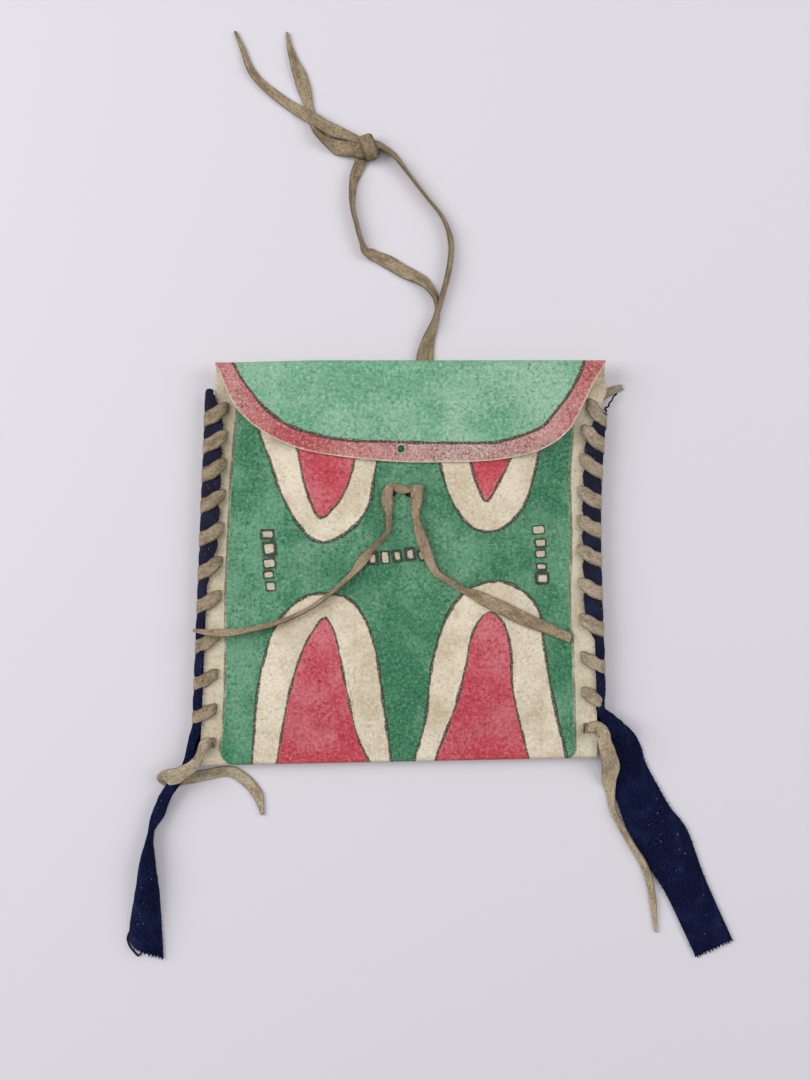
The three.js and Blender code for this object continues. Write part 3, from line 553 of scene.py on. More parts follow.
# How much higher each hole was punched than in an even row
HOLE_SHIFT = {
    -1: (-0.4, -0.8, 0, 0.4, 0.4, 0.4, 0.8, -1.2, -2.5, -2.0, -1.0),
    1: (1.0, 0.8, 0.8, 0, 1.0, 2.3, 2.1, 1.2, -0.4, -0.8, -1.6),
}


def hole_heights(side):
    share = np.linspace(0, 1, STITCHES) ** PITCH_POWER
    return lerp(TOP_FOLD - FIRST_HOLE, BOTTOM_FOLD + LAST_HOLE[side], share) + HOLE_SHIFT[side]


def stitch_slopes(side):
    down = np.arange(STITCHES) / STITCHES
    return lerp(*STITCH_SLOPE[side], smooth(down, *SLOPE_CHANGE[side]))


PRESS_REACH = 3.2  # how far along the seam a stitch presses the wool in


def pressed_at(side, y, share):
    """1 where a stitch presses on the wool and 0 between stitches, at that share of the stitch's drop."""
    away = np.abs(y - hole_heights(side) + share * stitch_slopes(side))
    return math.exp(-(away[:-1].min() / PRESS_REACH) ** 2)


STITCH_SINK = 0.8  # how deep a stitch presses into the wool
LACING_SEED = 50
TUCKED = 1.1  # how much less the lowest right stitch stands out, under the shoulder of the wool


# Beginning of each lace behind the back: how far out, how far above the first hole, and width
LACE_START = {
    -1: [(-HOLE_INSET - 12, 2), (-HOLE_INSET - 3, 0.6, 4)],
    1: [(7.6, 8.0, 2.2), (4.6, 6.8, 3.4), (0, 4.8, 4.0), (-HOLE_INSET + 2.2, 2.0)],
}


def lacing_stops(side):
    """Each stitch comes up through its hole, goes over the edge and behind the back to the next hole."""
    nose = WOOL_NOSE + WOOL / 2 - STITCH_SINK + STITCH_THICK / 2

    def at(out, y, z, width=LACE_WIDTH):
        return stop(side_edge(side, y) + side * out, y, z, width, 0, ALONG, STITCH_THICK)

    heights, slopes = hole_heights(side), stitch_slopes(side)
    stops = [at(out, heights[0] + up, BACK_LAY, *width) for out, up, *width in LACE_START[side]]
    for k, (y, following, slope) in enumerate(zip(heights, [*heights[1:], None], slopes)):
        broad = lerp(STITCH_BROAD[side], LOW_BROAD, smooth(k / STITCHES, 0.6, 0.9))
        top = FRONT_SEAM + CLEAR + WOOL * min(1, lip_at(side, y) / 1.5) + STITCH_THICK / 2
        stops += [
            at(-HOLE_INSET - 0.4, y + 0.3, BACK_LAY + 1.2, 2.8),
            at(-HOLE_INSET - 0.6, y + 0.3, FRONT_SEAM - 0.4, 3.2),
            at(-HOLE_INSET - 0.2, y + 0.1, FRONT_SEAM + 0.9, 4.5),
        ]
        if following is None:
            break
        stops += [
            at(-HOLE_INSET + 1.6, y - slope * 0.18, top + 0.15, broad - 0.5),
            at(-0.6, y - slope * 0.62, top + 0.1, broad),
        ]
        tucked = TUCKED if side > 0 and k == STITCHES - 2 else 0
        for turned, degrees in enumerate((45, 0, -45)):
            angle = math.radians(degrees)
            level = lerp(BACK_LAY, top, (1 + math.sin(angle)) / 2)
            drop = slope * (0.88 + 0.2 * turned)
            stops.append(at((nose - tucked) * math.cos(angle), y - drop, level, broad + 0.2 - 0.4 * turned))
        stops += [
            at(-0.2, y - slope * 1.4, BACK_LAY),
            at(-HOLE_INSET + 1.9, following + 2.4, BACK_LAY),
            at(-HOLE_INSET + 0.1, following + 0.6, BACK_LAY, 3.4),
        ]
    return stops


# The left seam's stitches take the darker suede as painted shade, and the right seam's take the lighter one
# as painted light.
for side, node, skin in ((-1, "left_lacing", SHADED_LEFT_STITCH_SKIN), (1, "right_lacing", LIT_RIGHT_STITCH_SKIN)):
    lacing, _ = strap(f"{node}_stitches", lacing_stops(side), LACING_SEED + side, steps=5, squareness=2.7)
    buckskin_piece(lacing, skin, node)


# Wool binding strips
NOSE_HEIGHT = FRONT_SEAM / 2 + CLEAR + WOOL / 2
NOSE_LENGTH = math.pi * math.sqrt((WOOL_NOSE ** 2 + NOSE_HEIGHT ** 2) / 2)
LIPS = WOOL_WIDTH - NOSE_LENGTH
SEAM_FOLD = (WOOL_NOSE * math.pi / NOSE_LENGTH, NOSE_HEIGHT * math.pi / NOSE_LENGTH)
NOSE_STEPS = (0.5, 0.25, 0, -0.25, -0.5)
SEAM_STATIONS = 40
FIBRE_SIDES = 5
WOOL_CLEAR = 0.18  # keeps the uneven cloth off the table
CUT_ROWS = 26  # rows over which the slant of a strip's end is reached
HEAD_ROWS, HEAD_PEAK, HEAD_ROUND = 50, 8, 4  # rows and columns of the rounded upper end
FRAY_SEED = 60
THREAD_THICK, FIBRE_THICK = (0.85, 0.7), (0.26, 0.12)  # at the root and at the end
FIBRE_FIRST, FIBRE_EVERY = 4, 3  # rows of a strip with a fibre at each edge
END_FIBRES = 3  # to a column, at its lower end
OFF_AXIS = [0.31, 0.42, 0.85]  # a direction that no fibre follows
NAP_WAVE, THREAD_WAVE = (0.12, 7), (0.05, 2.3)  # height and length
LIP_CROSSING, NOSE_CROSSING = 0.35, 1.08  # shares of a stitch's drop at the lip and at the fold of the wool


def wool_row(station, heading, side):
    """The middle layer across a strip. Open is 0 folded and 1 flat, roll turns its legs down, and
    breadth makes the legs beside the fold shorter or longer."""
    inward = unit(np.cross(heading, UP)) * side
    turn = math.radians(station["roll"])
    legs = inward * math.cos(turn) - UP * math.sin(turn)
    stack = UP * math.cos(turn) + inward * math.sin(turn)
    bend = math.pi * (1 - min(station["open"], 0.99))
    radius = NOSE_LENGTH / bend
    deep, tall = station["squeeze"]
    row = []
    for share in NOSE_STEPS:
        angle = bend * share
        row.append(legs * radius * (1 - math.cos(angle)) * deep + stack * radius * math.sin(angle) * tall)
    lip = station.get("lip", LIPS / 2)
    ends = []
    for sign, length, root in ((1, lip, row[0]), (-1, LIPS - lip, row[-1])):
        way = legs * math.sin(bend / 2) + stack * sign * math.cos(bend / 2)
        reach = length * station.get("breadth", 1)
        ends.append([root + way * reach * share for share in (1, 0.5)])
    row = np.array([*ends[0], *row, *ends[1][::-1]]) + station["at"] - inward * station.get("puff", 0)
    if "lift" in station:
        row[:, 2] += TABLE + station["lift"] + WOOL / 2 + WOOL_CLEAR - row[:, 2].min()
    return row


def tail_station(side, out, up, opened, roll, lift=0, breadth=1, squeeze=(1, 1)):
    """A place on a loose tail, that far out from the pouch's lower corner and up from its bottom."""
    at = np.array([side_edge(side, BOTTOM_FOLD) + side * out, BOTTOM_FOLD + up, TURN])
    return {"at": at, "open": opened, "roll": roll, "lift": lift, "breadth": breadth, "squeeze": squeeze}


def seam_station(x, y, lip, squeeze, puff=0):
    return {"at": np.array([x, y, TURN]), "open": 0, "roll": 0, "lip": lip, "squeeze": squeeze, "puff": puff}


def wool_stations(side, root, tail):
    """Places down a strip: the laced seam, the root of the tail (out, up and lip), and the tail."""
    stations = []
    deep, tall = SEAM_FOLD
    for y in np.linspace(TOP_FOLD - WOOL_START[side], BOTTOM_FOLD + SEAM_STOP[side], SEAM_STATIONS):
        on_lip, on_nose = (1 - pressed_at(side, y, share) for share in (LIP_CROSSING, NOSE_CROSSING))
        lip = lip_at(side, y) * (0.85 + 0.35 * on_lip)
        squeeze = (deep, tall * (1 + 0.12 * on_lip))
        x = side_edge(side, y) + side * WOOL_NOSE
        stations.append(seam_station(x, y, lip, squeeze, 0.6 * on_nose - 0.25))
    out, up, lip = root
    x = side_edge(side, BOTTOM_FOLD) + side * out
    stations.append(seam_station(x, BOTTOM_FOLD + up, lip, SEAM_FOLD))
    return stations + [tail_station(side, *row) for row in tail]


def wool_grid(stations, side, steps):
    heading = unit(np.gradient(np.array([s["at"] for s in stations]), axis=0))
    rows = [curve_through(wool_row(s, ahead, side), 3) for s, ahead in zip(stations, heading)]
    columns = len(rows[0])
    return curve_through(np.array(rows).reshape(len(rows), -1), steps).reshape(-1, columns, 3)


def fibre_rings(points, thick, end_thick):
    """Rings of a thin round fibre along points."""
    line = np.asarray(points, float)
    heading = unit(np.gradient(line, axis=0))
    side = unit(np.cross(heading, OFF_AXIS))
    face = np.cross(heading, side)
    angle = 2 * np.pi * np.arange(FIBRE_SIDES) / FIBRE_SIDES
    radius = np.linspace(thick, end_thick, len(line))[:, None, None] / 2
    turn = side[:, None] * np.cos(angle)[:, None] + face[:, None] * np.sin(angle)[:, None]
    return line[:, None] + turn * radius


def frayed(name, grid, normal, seed, thread):
    """Short fibres that stand out from a strip's cut edges, and its one long loose thread."""
    dice = np.random.default_rng(seed)
    tubes = [fibre_rings(curve_through(thread, 6), *THREAD_THICK)]
    rows, columns = grid.shape[:2]
    edges = [(row, column, way) for row in range(FIBRE_FIRST, rows, FIBRE_EVERY)
             for column, way in ((0, 1), (-1, -2))]
    edges += [(-1, column, None) for column in range(columns) for _ in range(END_FIBRES)]
    for row, column, way in edges:
        start = grid[row, column]
        out = start - (grid[-2, column] if way is None else grid[row, way])
        wild = dice.normal(size=3) * [0.7, 0.7, 0.4] + normal[row, column] * dice.uniform(-0.2, 0.7)
        ahead = unit(unit(out) + wild) * dice.uniform(0.3, 1.1)
        bend = dice.normal(size=3) * 0.25
        route = np.array([start - unit(out) * 0.3, start + ahead * 0.5 + bend, start + ahead])
        route[:, 2] = np.maximum(route[:, 2], TABLE + 0.1)
        tubes.append(fibre_rings(route, *FIBRE_THICK))
    piece = tubes_object(name, tubes, tubes)
    piece.data.materials.append(WOOL_CLOTH)
    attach(piece, "pouch")
    return piece


def wool_strip(name, side, stations, node, thread, slant=0, head=0):
    """A strip of wool. Slant skews its lower end, and head rounds its upper one."""
    grid = wool_grid(stations, side, 12)
    columns = grid.shape[1]
    ways = np.gradient(grid, axis=0)
    cut = slant * np.linspace(-0.5, 0.5, columns) * np.linspace(0, 1, CUT_ROWS)[:, None]
    grid[-CUT_ROWS:] += unit(ways[-CUT_ROWS:]) * cut[..., None]
    rounded = np.clip(np.abs(np.arange(columns) - HEAD_PEAK) / HEAD_ROUND, 0, 1) ** 2 - 0.3
    dropped = head * rounded * np.linspace(1, 0, HEAD_ROWS)[:, None]
    grid[:HEAD_ROWS] += unit(ways[:HEAD_ROWS]) * dropped[..., None]
    ways = np.gradient(grid, axis=0)
    normal = unit(np.cross(ways, np.gradient(grid, axis=1)))
    length = np.cumsum(np.linalg.norm(ways, axis=-1), axis=0)
    width = np.cumsum(np.linalg.norm(np.gradient(grid, axis=1), axis=-1), axis=1)
    uneven = wave(length, width, *NAP_WAVE) + wave(length, width, *THREAD_WAVE)
    teeth = np.where(np.arange(columns) % 2, 0.5, -0.3)
    grid[-1] += unit(ways[-1]) * teeth[:, None]
    fray = frayed(f"{name}_fray", grid, normal, FRAY_SEED + side, thread)
    strip = np.stack([length, width, np.zeros_like(width)], -1)
    outer = grid + normal * (WOOL / 2 + uneven)[..., None]
    inner = grid - normal * (WOOL / 2 - uneven)[..., None]
    piece = slab(name, outer, inner, {"strip": (strip, strip + [0, 0, WOOL])})
    piece.data.materials.append(WOOL_CLOTH)
    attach(piece, "pouch")
    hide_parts(node)


def wool_cloth():
    """Felted wool: a fuzzy nap over a diagonal weave, worn places, and pale specks of lint."""
    g = Graph("navy_wool")
    strip = g.vector("strip")
    fuzz = g.noise(strip, 1.3, 3, 0.75)
    weave = g.noise(g.stretched(strip, 1.0, 1.9, 1), 1.0, 2)
    worn = g.noise(strip, 0.1, 3)
    lint = g.noise(g.stretched(strip, 0.8, 1.4, 1), 0.9, 1, 0.4)
    dust = g.noise(strip, 1.9, 2, 0.5)
    tone = g.over(colour(6, 10, 32), colour(25, 33, 71), fuzz, 0.36, 0.66)
    tone = g.over(tone, colour(40, 50, 90), worn, 0.45, 0.72, 0.4)
    tone = g.over(tone, colour(4, 6, 22), weave, 0.44, 0.3, 0.6)
    tone = g.over(tone, colour(98, 90, 54), g.part(strip, "X"), 140, 60, 0.1)
    tone = g.over(tone, colour(168, 168, 176), lint, 0.755, 0.78, 0.75)
    tone = g.over(tone, colour(150, 148, 150), dust, 0.69, 0.75, 0.4)
    rough = g.math("MAXIMUM", g.step(fuzz, 0.1, 0.9), 0.9)
    return g.finish(tone, rough, g.bump(g.plus(fuzz, weave), 0.5), 0.05)


WOOL_CLOTH = wool_cloth()
GATHERED, PINCHED, CLOSED = (0.78, 0.55), (1, 0.16), (1, 0.7)
# Loose tails: how far out and up, how open, roll, lift off the table, breadth and squeeze
LEFT_TAIL = [
    (7.4, -1.4, 0, 6, 1.4, 0.35, GATHERED), (15.4, -12.2, 0, 34, 1.2, 0.35, GATHERED),
    (19.4, -22.4, 0, 64, 0.2, 0.5, GATHERED), (21.4, -30.4, 0, 88, 0, 0.6, PINCHED),
    (22.8, -42.0, 0.05, 90, 0, 1, CLOSED), (23.2, -56.0, 0.2, 90), (23.8, -70.0, 0.42, 90),
    (24.0, -79.4, 0.55, 90),
]
RIGHT_TAIL = [
    (9.0, 16.4, 0.28, 44, 0.2), (10.2, 11.4, 0.54, 66, 0.2), (11.3, 4.4, 0.8, 84), (13.4, -4.0, 0.96, 90),
    (18.4, -15.2, 1, 90, 0, 1.2), (22.6, -24.5, 1, 90, 0, 1.45), (28.6, -34.2, 1, 90, 0, 1.75),
    (33.6, -43.6, 1, 90, 0, 1.4), (37.5, -51.6, 1, 90, 0, 1.12), (50.2, -79.2, 1, 90),
]
LEFT_THREAD = [
    (-114.8, -156.0, -1.9), (-115.6, -158.7, -2.1), (-114.7, -161.8, -2.2), (-112.4, -164.8, -2.3),
    (-111.1, -166.0, -2.3), (-110.2, -165.0, -2.3), (-108.6, -162.0, -2.0),
]
RIGHT_THREAD = [
    (83.6, 61.2, 1.6), (85.4, 63.0, 1.2), (84.8, 64.2, 0.9), (86.3, 65.0, 0.6), (86.8, 66.6, 0.5),
    (87.9, 67.6, 0.4), (88.4, 69.0, 0.2), (90.0, 70.4, 0.0),
]
left_stations = wool_stations(-1, (4.6, 9.4, FRONT_LIP_LOW), LEFT_TAIL)
right_stations = wool_stations(1, (6.8, 19.4, 2.2), RIGHT_TAIL)
wool_strip("left_wool", -1, left_stations, "left_binding", LEFT_THREAD, slant=-8, head=2.6)
wool_strip("right_wool", 1, right_stations, "right_binding", RIGHT_THREAD)


# Painted shapes. Outlines are given in the photograph's pixels and laid on the hide.
def seen(u, v, z):
    """Where the ray through a pixel of the 810 by 1080 photograph meets the height z."""
    per_pixel = (CAMERA[2] - z) / FOCAL
    half = PHOTO_SIZE / 2
    return CAMERA[0] + (u - half[0]) * per_pixel, CAMERA[1] + (half[1] - v) * per_pixel


def on_panel(pixels):
    u, v = np.array(pixels, float).T
    height = PANEL_TOP
    for _ in range(3):
        x, y = seen(u, v, height)
        height = front_face(x, y)
    return np.stack([x, y], 1)


def on_flap(pixels):
    u, v = np.array(pixels, float).T
    return np.stack(seen(u, v, FLAP_OUTER), 1)


def distance_to_line(points, line):
    """Distance from each point to the nearest place on a line of segments."""
    best = np.full(len(points), np.inf)
    for start, end in zip(line, line[1:]):
        way = end - start
        share = np.clip(((points - start) @ way) / max(way @ way, 1e-9), 0, 1)
        best = np.minimum(best, np.linalg.norm(points - start - share[:, None] * way, axis=1))
    return best


def inside(points, outline):
    """Which points lie inside a closed outline."""
    x, y = points.T
    odd = np.zeros(len(points), bool)
    for (x1, y1), (x2, y2) in zip(outline, np.roll(outline, -1, axis=0)):
        if y1 == y2:
            continue
        crosses = (y1 > y) != (y2 > y)
        odd ^= crosses & (x < (x2 - x1) * (y - y1) / (y2 - y1) + x1)
    return odd


def signed_distance(points, line):
    """Distance to an open outline, negative on the inside of it and the chord between its ends."""
    away = distance_to_line(points, line)
    return np.where(inside(points, line), -away, away)


LOBES = [
    [(250, 345), (252, 380), (256, 405), (259, 430), (270, 461), (282.6, 497), (296.6, 522), (310.7, 538),
     (324.7, 542), (341.5, 536), (358.4, 522), (369.6, 503), (373.8, 480), (377, 461), (380, 435),
     (384, 405), (387, 345)],
    [(426, 345), (429, 400), (433, 435), (439.7, 462), (448, 491.5), (459.4, 514), (473.4, 528),
     (490.3, 532), (507, 525), (524, 505.6), (533.8, 475), (539.4, 449), (541, 425), (543, 395),
     (544, 345)],
    [(252, 774), (253, 750), (256, 705), (263, 663), (274, 629), (291, 606.6), (310.7, 595), (330, 594),
     (347, 598), (361, 612), (372, 637.5), (378, 663), (383.6, 705), (390.6, 755), (393, 774)],
    [(411, 774), (416, 755), (425.7, 719), (431, 671), (438, 640), (451, 609), (468, 590), (487.5, 582),
     (507, 582.7), (526.7, 594), (539.4, 612), (543.6, 640), (549, 677), (557.6, 719), (566, 755),
     (570, 774)],
]
RED_SHAPES = [
    [(284, 345), (288, 395), (293, 425), (298, 452), (303.6, 480), (310.7, 503), (320.5, 518), (336, 505.6),
     (347, 486), (354, 463.5), (358, 435), (361, 400), (362, 345)],
    [(456, 345), (459, 400), (463, 435), (470.6, 462), (477.6, 486), (486, 501.4), (498.7, 483), (510, 459),
     (516, 435), (520, 400), (523, 345)],
    [(274, 776), (277, 761), (288, 699), (298, 663), (310.7, 634.6), (324.7, 618), (333, 629), (340, 657),
     (348.5, 699), (358.4, 738.5), (368, 759.5), (374, 776)],
    [(431, 776), (437, 755), (454, 710), (466, 665.5), (473, 632), (489, 612), (501.5, 620.6), (510, 643),
     (512.7, 688), (521, 727), (528, 755), (532, 776)],
]
PENCIL_LINE = [(347.5, 679), (351, 695), (354.5, 713), (357, 733), (362, 748)]
FIELD_LEFT = [
    (238, 380), (236, 416), (231, 475), (228, 534), (225, 593), (225, 649), (224, 705), (219.5, 752),
]
FIELD_RIGHT = [
    (574, 380), (573, 433), (570, 480), (571.6, 536), (570, 593), (573, 649), (574.4, 705), (576, 752),
]
FIELD_END = [
    (219.5, 755), (224, 762), (233, 767), (300, 770), (400, 770), (500, 768), (562, 763), (571, 760),
    (576, 754),
]
# Small drawn boxes: middle, width and height in pixels, half the line's width in mm, and lean in degrees
BOXES = [
    (267.4, 534.2, 12.7, 8.1, 0.44, 0), (269.3, 548.7, 12.0, 11.9, 0.66, 7),
    (269.3, 563.4, 12.0, 8.8, 0.38, 6), (268.4, 574.8, 10.0, 6.7, 0.34, 8),
    (270.7, 586.4, 9.6, 8.6, 0.36, 5),
    (538.5, 529.9, 12.3, 8.2, 0.30, 6), (540.5, 543.0, 11.0, 7.9, 0.36, 5),
    (540.7, 553.8, 10.2, 7.6, 0.33, 4), (541.6, 566.6, 9.9, 5.8, 0.36, 0),
    (542.3, 578.3, 12.1, 10.1, 0.66, 0),
    (372.5, 558.5, 9.0, 11.0, 0.8, 4), (385.2, 557.4, 7.7, 12.0, 0.3, 4),
    (397.2, 556.0, 7.6, 10.6, 0.66, 10), (410.2, 554.2, 8.6, 10.9, 0.74, 6),
    (422.0, 555.4, 6.8, 9.6, 0.5, 16),
]
BOX_LINE = 0.5
FAR = 50.0  # distance in place of one that doesn't matter


def box_distance(points):
    """Signed distance to the nearest of the small drawn boxes, measured in half line widths."""
    best = np.full(len(points), FAR)
    for u, v, wide, tall, line, lean in BOXES:
        turn = math.radians(lean)
        x, y = (points - on_panel([(u, v)])[0]).T
        along = x * math.cos(turn) + y * math.sin(turn)
        upward = y * math.cos(turn) - x * math.sin(turn)
        half = np.array([wide, tall]) / 2 * (CAMERA[2] - PANEL_TOP) / FOCAL
        away = np.abs(np.stack([along, upward], 1)) - half
        outside = np.linalg.norm(np.maximum(away, 0), axis=1)
        best = np.minimum(best, (outside + np.minimum(away.max(1), 0)) * BOX_LINE / line)
    return best


# Where the paint lies thick or thin, and one place of painted shade: middle and reach in pixels, and how much
# thicker
PANEL_WASH_AND_SHADE = [
    (403, 700, 26, 62, 1.0), (380, 572, 26, 16, 0.9), (547, 488, 24, 30, 0.7), (246, 446, 14, 30, 0.7),
    (370, 516, 16, 24, 0.6), (560, 660, 12, 50, 0.5), (520, 570, 40, 16, 0.4), (440, 600, 26, 24, 0.3),
    (238, 680, 16, 60, -0.8), (250, 545, 16, 30, -0.5), (465, 546, 30, 16, -0.4), (402, 474, 22, 12, -0.3),
    (232, 590, 10, 40, -0.5), (224, 752, 14, 12, 0.6), (560, 560, 10, 40, -0.5),
    (318, 757, 44, 5, 1.2), (482, 755, 44, 5, 1.2), (345, 742, 16, 22, 0.9), (478, 690, 22, 34, 0.8),
    (312, 690, 16, 34, 0.5), (326, 634, 16, 16, -0.8), (489, 628, 14, 16, -0.6), (316, 700, 9, 14, -0.7),
    (484, 694, 8, 12, -0.7), (332, 738, 8, 8, -0.9), (325, 470, 24, 30, 0.5), (488, 470, 16, 16, 0.5),
    # Painted shade: the green under the flap's hole, darkened as if the paint lay thick there
    (401, 448, 12, 8, 2.5),
]
# Darker brown places on the bare hide, as middle and reach in pixels, and how much. The two beside the lowest
# holes are stains. The ones just under the flap's edge and high on the left margin are painted shade. The
# rest darken the lower left margin, the bottom fold and a place in a lobe.
PANEL_STAINS_AND_SHADE = [
    (225, 430, 10, 46, 0.45), (221, 520, 9, 50, 0.3), (284, 441, 14, 7, 0.5), (529, 446, 14, 6, 0.3),
    (210, 747, 9, 8, 0.75), (580, 734, 9, 8, 0.6), (404, 768, 60, 4, 0.3), (300, 640, 20, 26, 0.15),
]
FLAP_WASH = [
    (348, 388, 40, 26, 0.7), (400, 376, 40, 16, 0.6), (300, 420, 24, 12, 0.6), (470, 420, 30, 14, 0.4),
    (302, 439, 30, 9, 1.0), (580, 380, 8, 26, 0.4),
    (262, 384, 22, 18, -0.5), (552, 396, 26, 24, -0.9), (455, 415, 10, 24, -0.6), (510, 400, 20, 8, -0.5),
]


def wash_at(points, patches, place):
    """How much a table of patches adds at each point, about 1 at most: thicker paint, stains and painted
    shade.
    """
    total = np.zeros(len(points))
    for u, v, wide, tall, amount in patches:
        away = (points - place([(u, v)])[0]) / (np.array([wide, tall]) * (CAMERA[2] - PANEL_TOP) / FOCAL)
        total += amount * np.exp(-np.sum(away ** 2, axis=1))
    return total


def panel_paint(points):
    """Distances in millimetres that the painted front's material draws its shapes from."""
    left, right, end = (curve_through(on_panel(line), 6) for line in (FIELD_LEFT, FIELD_RIGHT, FIELD_END))
    field = np.vstack([left, end, right[::-1]])
    lobe, red = (
        np.min([signed_distance(points, curve_through(on_panel(shape), 8)) for shape in shapes], axis=0)
        for shapes in (LOBES, RED_SHAPES)
    )
    return {
        "field": np.where(inside(points, field), 1, -1) * distance_to_line(points, field),
        "field_line": np.minimum(distance_to_line(points, left), distance_to_line(points, right)),
        "lobe": lobe,
        "red": red,
        "box": box_distance(points),
        "pencil": distance_to_line(points, curve_through(on_panel(PENCIL_LINE), 6)),
        "wash": wash_at(points, PANEL_WASH_AND_SHADE, on_panel),
        "stain": wash_at(points, PANEL_STAINS_AND_SHADE, on_panel),
    }


# What the unpainted sides of the hide have in place of those distances
UNPAINTED = {"field": -FAR, "field_line": FAR, "lobe": FAR, "red": FAR, "box": FAR, "pencil": FAR, "wash": 0,
             "stain": 0}


# Rawhide
def hide_tone(g, flat):
    """Cream rawhide: cloudy, with warm stains and fine hair specks."""
    cloud = g.noise(flat, 0.05, 4, 0.6)
    stain = g.noise(flat, 0.17, 4, 0.65)
    speck = g.noise(flat, 0.7, 4, 0.75)
    tone = g.over(colour(207, 192, 164), colour(229, 217, 194), cloud, 0.35, 0.65)
    tone = g.over(tone, colour(186, 165, 132), stain, 0.5, 0.78, 0.7)
    tone = g.over(tone, colour(160, 140, 114), speck, 0.52, 0.7, 0.75)
    return g.over(tone, colour(244, 238, 224), speck, 0.47, 0.3, 0.8)


def paint_tone(g, flat, wash, thick, thin, dark):
    """Thin hand-rubbed paint, cloudy, streaked, and darker in the grain of the hide."""
    # Where the wash is high the paint takes its thick, darker tone; on the front this also paints shade under
    # the flap's hole.
    cloud = g.plus(g.noise(flat, 0.06, 4, 0.65), g.times(wash, -0.22))
    smear = g.noise(g.stretched(flat, 1.5, 0.75, 1), 0.34, 4, 0.7)
    grain = g.noise(flat, 0.66, 4, 0.8)
    rubbed = g.step(g.noise(g.stretched(flat, 1, 1, 2.3), 0.07, 3, 0.6), 0.35, 0.7)
    tone = g.over(colour(*thick), colour(*thin), cloud, 0.32, 0.68)
    tone = g.over(tone, colour(*thin), smear, 0.5, 0.76, 0.65)
    tone = g.over(tone, colour(*dark), smear, 0.48, 0.28, 0.5)
    tone = g.over(tone, shade(thin, 1.22, 8), grain, 0.52, 0.72, 0.6)
    shown = g.plus(g.times(rubbed, 0.55), 0.45)
    return g.mix(g.times(g.step(grain, 0.5, 0.36), shown), tone, colour(*dark))


def cover(g, flat, edge, low, high, skipped=0.25):
    """How much of the paint there is: an uneven edge, with grains of the hide left bare."""
    wander = g.math("SUBTRACT", g.noise(flat, 0.6, 3, 0.6), 0.5)
    uneven = g.plus(edge, g.times(wander, 1.3))
    bare = g.step(g.noise(g.stretched(flat, 1, 1, 1.7), 0.8, 3, 0.75), 0.5, 0.72, skipped)
    return g.times(g.step(uneven, low, high), g.math("SUBTRACT", 1.0, bare))


def stroke(g, flat, away, half, strength=0.95):
    """A drawn line: its width and darkness change along it, and the grain shows through."""
    press = g.noise(flat, 0.12, 3)
    grain = g.noise(flat, 1.1, 3, 0.7)
    reach = g.plus(g.times(g.step(press, 0.25, 0.75), half), half / 2)
    line = g.step(g.math("SUBTRACT", away, reach), 0.24, -0.2, strength)
    return g.times(line, g.step(grain, 0.82, 0.44))


# Paints: where they lie thick, where they lie thin, and in the grain
GREEN = ((46, 117, 81), (101, 156, 122), (22, 78, 52))
PALE_GREEN = ((102, 164, 130), (148, 190, 162), (62, 120, 88))
RED = ((192, 62, 76), (208, 112, 120), (136, 38, 52))
BAND_RED = ((176, 56, 64), (198, 108, 108), (102, 40, 46))
FADED_RED = ((172, 124, 120), (206, 172, 166), (66, 50, 50))
INK = colour(50, 46, 42)


def hide_finish(g, flat, tone):
    grain = g.noise(flat, 1.4, 3, 0.65)
    swell = g.noise(flat, 0.2, 2)
    height = g.plus(grain, g.times(swell, 1.6))
    rough = g.math("MAXIMUM", g.step(grain, 0.3, 0.7, 0.9), 0.62)
    return g.finish(tone, rough, g.bump(height, 0.3), 0.25)


def painted_panel():
    g = Graph("painted_rawhide")
    flat = g.vector("flat")
    edge, lobe, red, box, wash = (g.number(name) for name in ("field", "lobe", "red", "box", "wash"))
    wander = g.math("SUBTRACT", g.noise(flat, 0.3, 2), 0.5)
    lobe, red = g.plus(lobe, wander), g.plus(red, wander)
    # The table of darker places browns the bare hide: stains, and painted shade under the flap's edge.
    tone = g.mix(g.number("stain"), hide_tone(g, flat), colour(142, 120, 92))
    smeared = g.times(g.step(edge, -9, -1, 0.3), g.step(edge, 0.5, -0.5))
    tone = g.mix(smeared, tone, colour(158, 162, 126))
    field = g.times(cover(g, flat, edge, -0.3, 0.9), g.step(lobe, -0.2, 0.4))
    field = g.times(field, g.step(box, -0.5, -0.2))
    tone = g.mix(field, tone, paint_tone(g, flat, wash, *GREEN))
    tone = g.over(tone, colour(104, 100, 90), box, 1.1, 0.1, 0.22)
    tone = g.mix(cover(g, flat, red, 0.3, -0.6), tone, paint_tone(g, flat, wash, *RED))
    for away, half in ((lobe, 0.6), (red, 0.5), (box, BOX_LINE)):
        tone = g.mix(stroke(g, flat, g.math("ABSOLUTE", away), half), tone, INK)
    for name, half, strength in (("field_line", 0.42, 0.75), ("pencil", 0.22, 0.6)):
        tone = g.mix(stroke(g, flat, g.number(name), half, strength), tone, INK)
    return hide_finish(g, flat, tone)


def fine_steps(start, end, pitch):
    return np.linspace(start, end, max(2, int(abs(end - start) / pitch) + 1))


PITCH = 0.9  # between the points of the painted front
PUNCH_SIDES = 28


def punched(piece, holes):
    """Cuts round holes through a piece. Each is a middle, a diameter, and its lowest and highest point."""
    for x, y, diameter, low, high in holes:
        bpy.ops.mesh.primitive_cylinder_add(
            vertices=PUNCH_SIDES, radius=diameter / 2 * MM, depth=(high - low) * MM,
            location=(x * MM, y * MM, (low + high) / 2 * MM))
        punch = bpy.context.object
        cut = piece.modifiers.new("punch", "BOOLEAN")
        cut.operation, cut.object, cut.solver = "DIFFERENCE", punch, "EXACT"
        shape = bpy.data.meshes.new_from_object(piece.evaluated_get(bpy.context.evaluated_depsgraph_get()))
        piece.modifiers.clear()
        piece.data = shape
        bpy.data.objects.remove(punch)
    piece.data.shade_smooth()
    piece.data.set_sharp_from_angle(angle=SHARP)


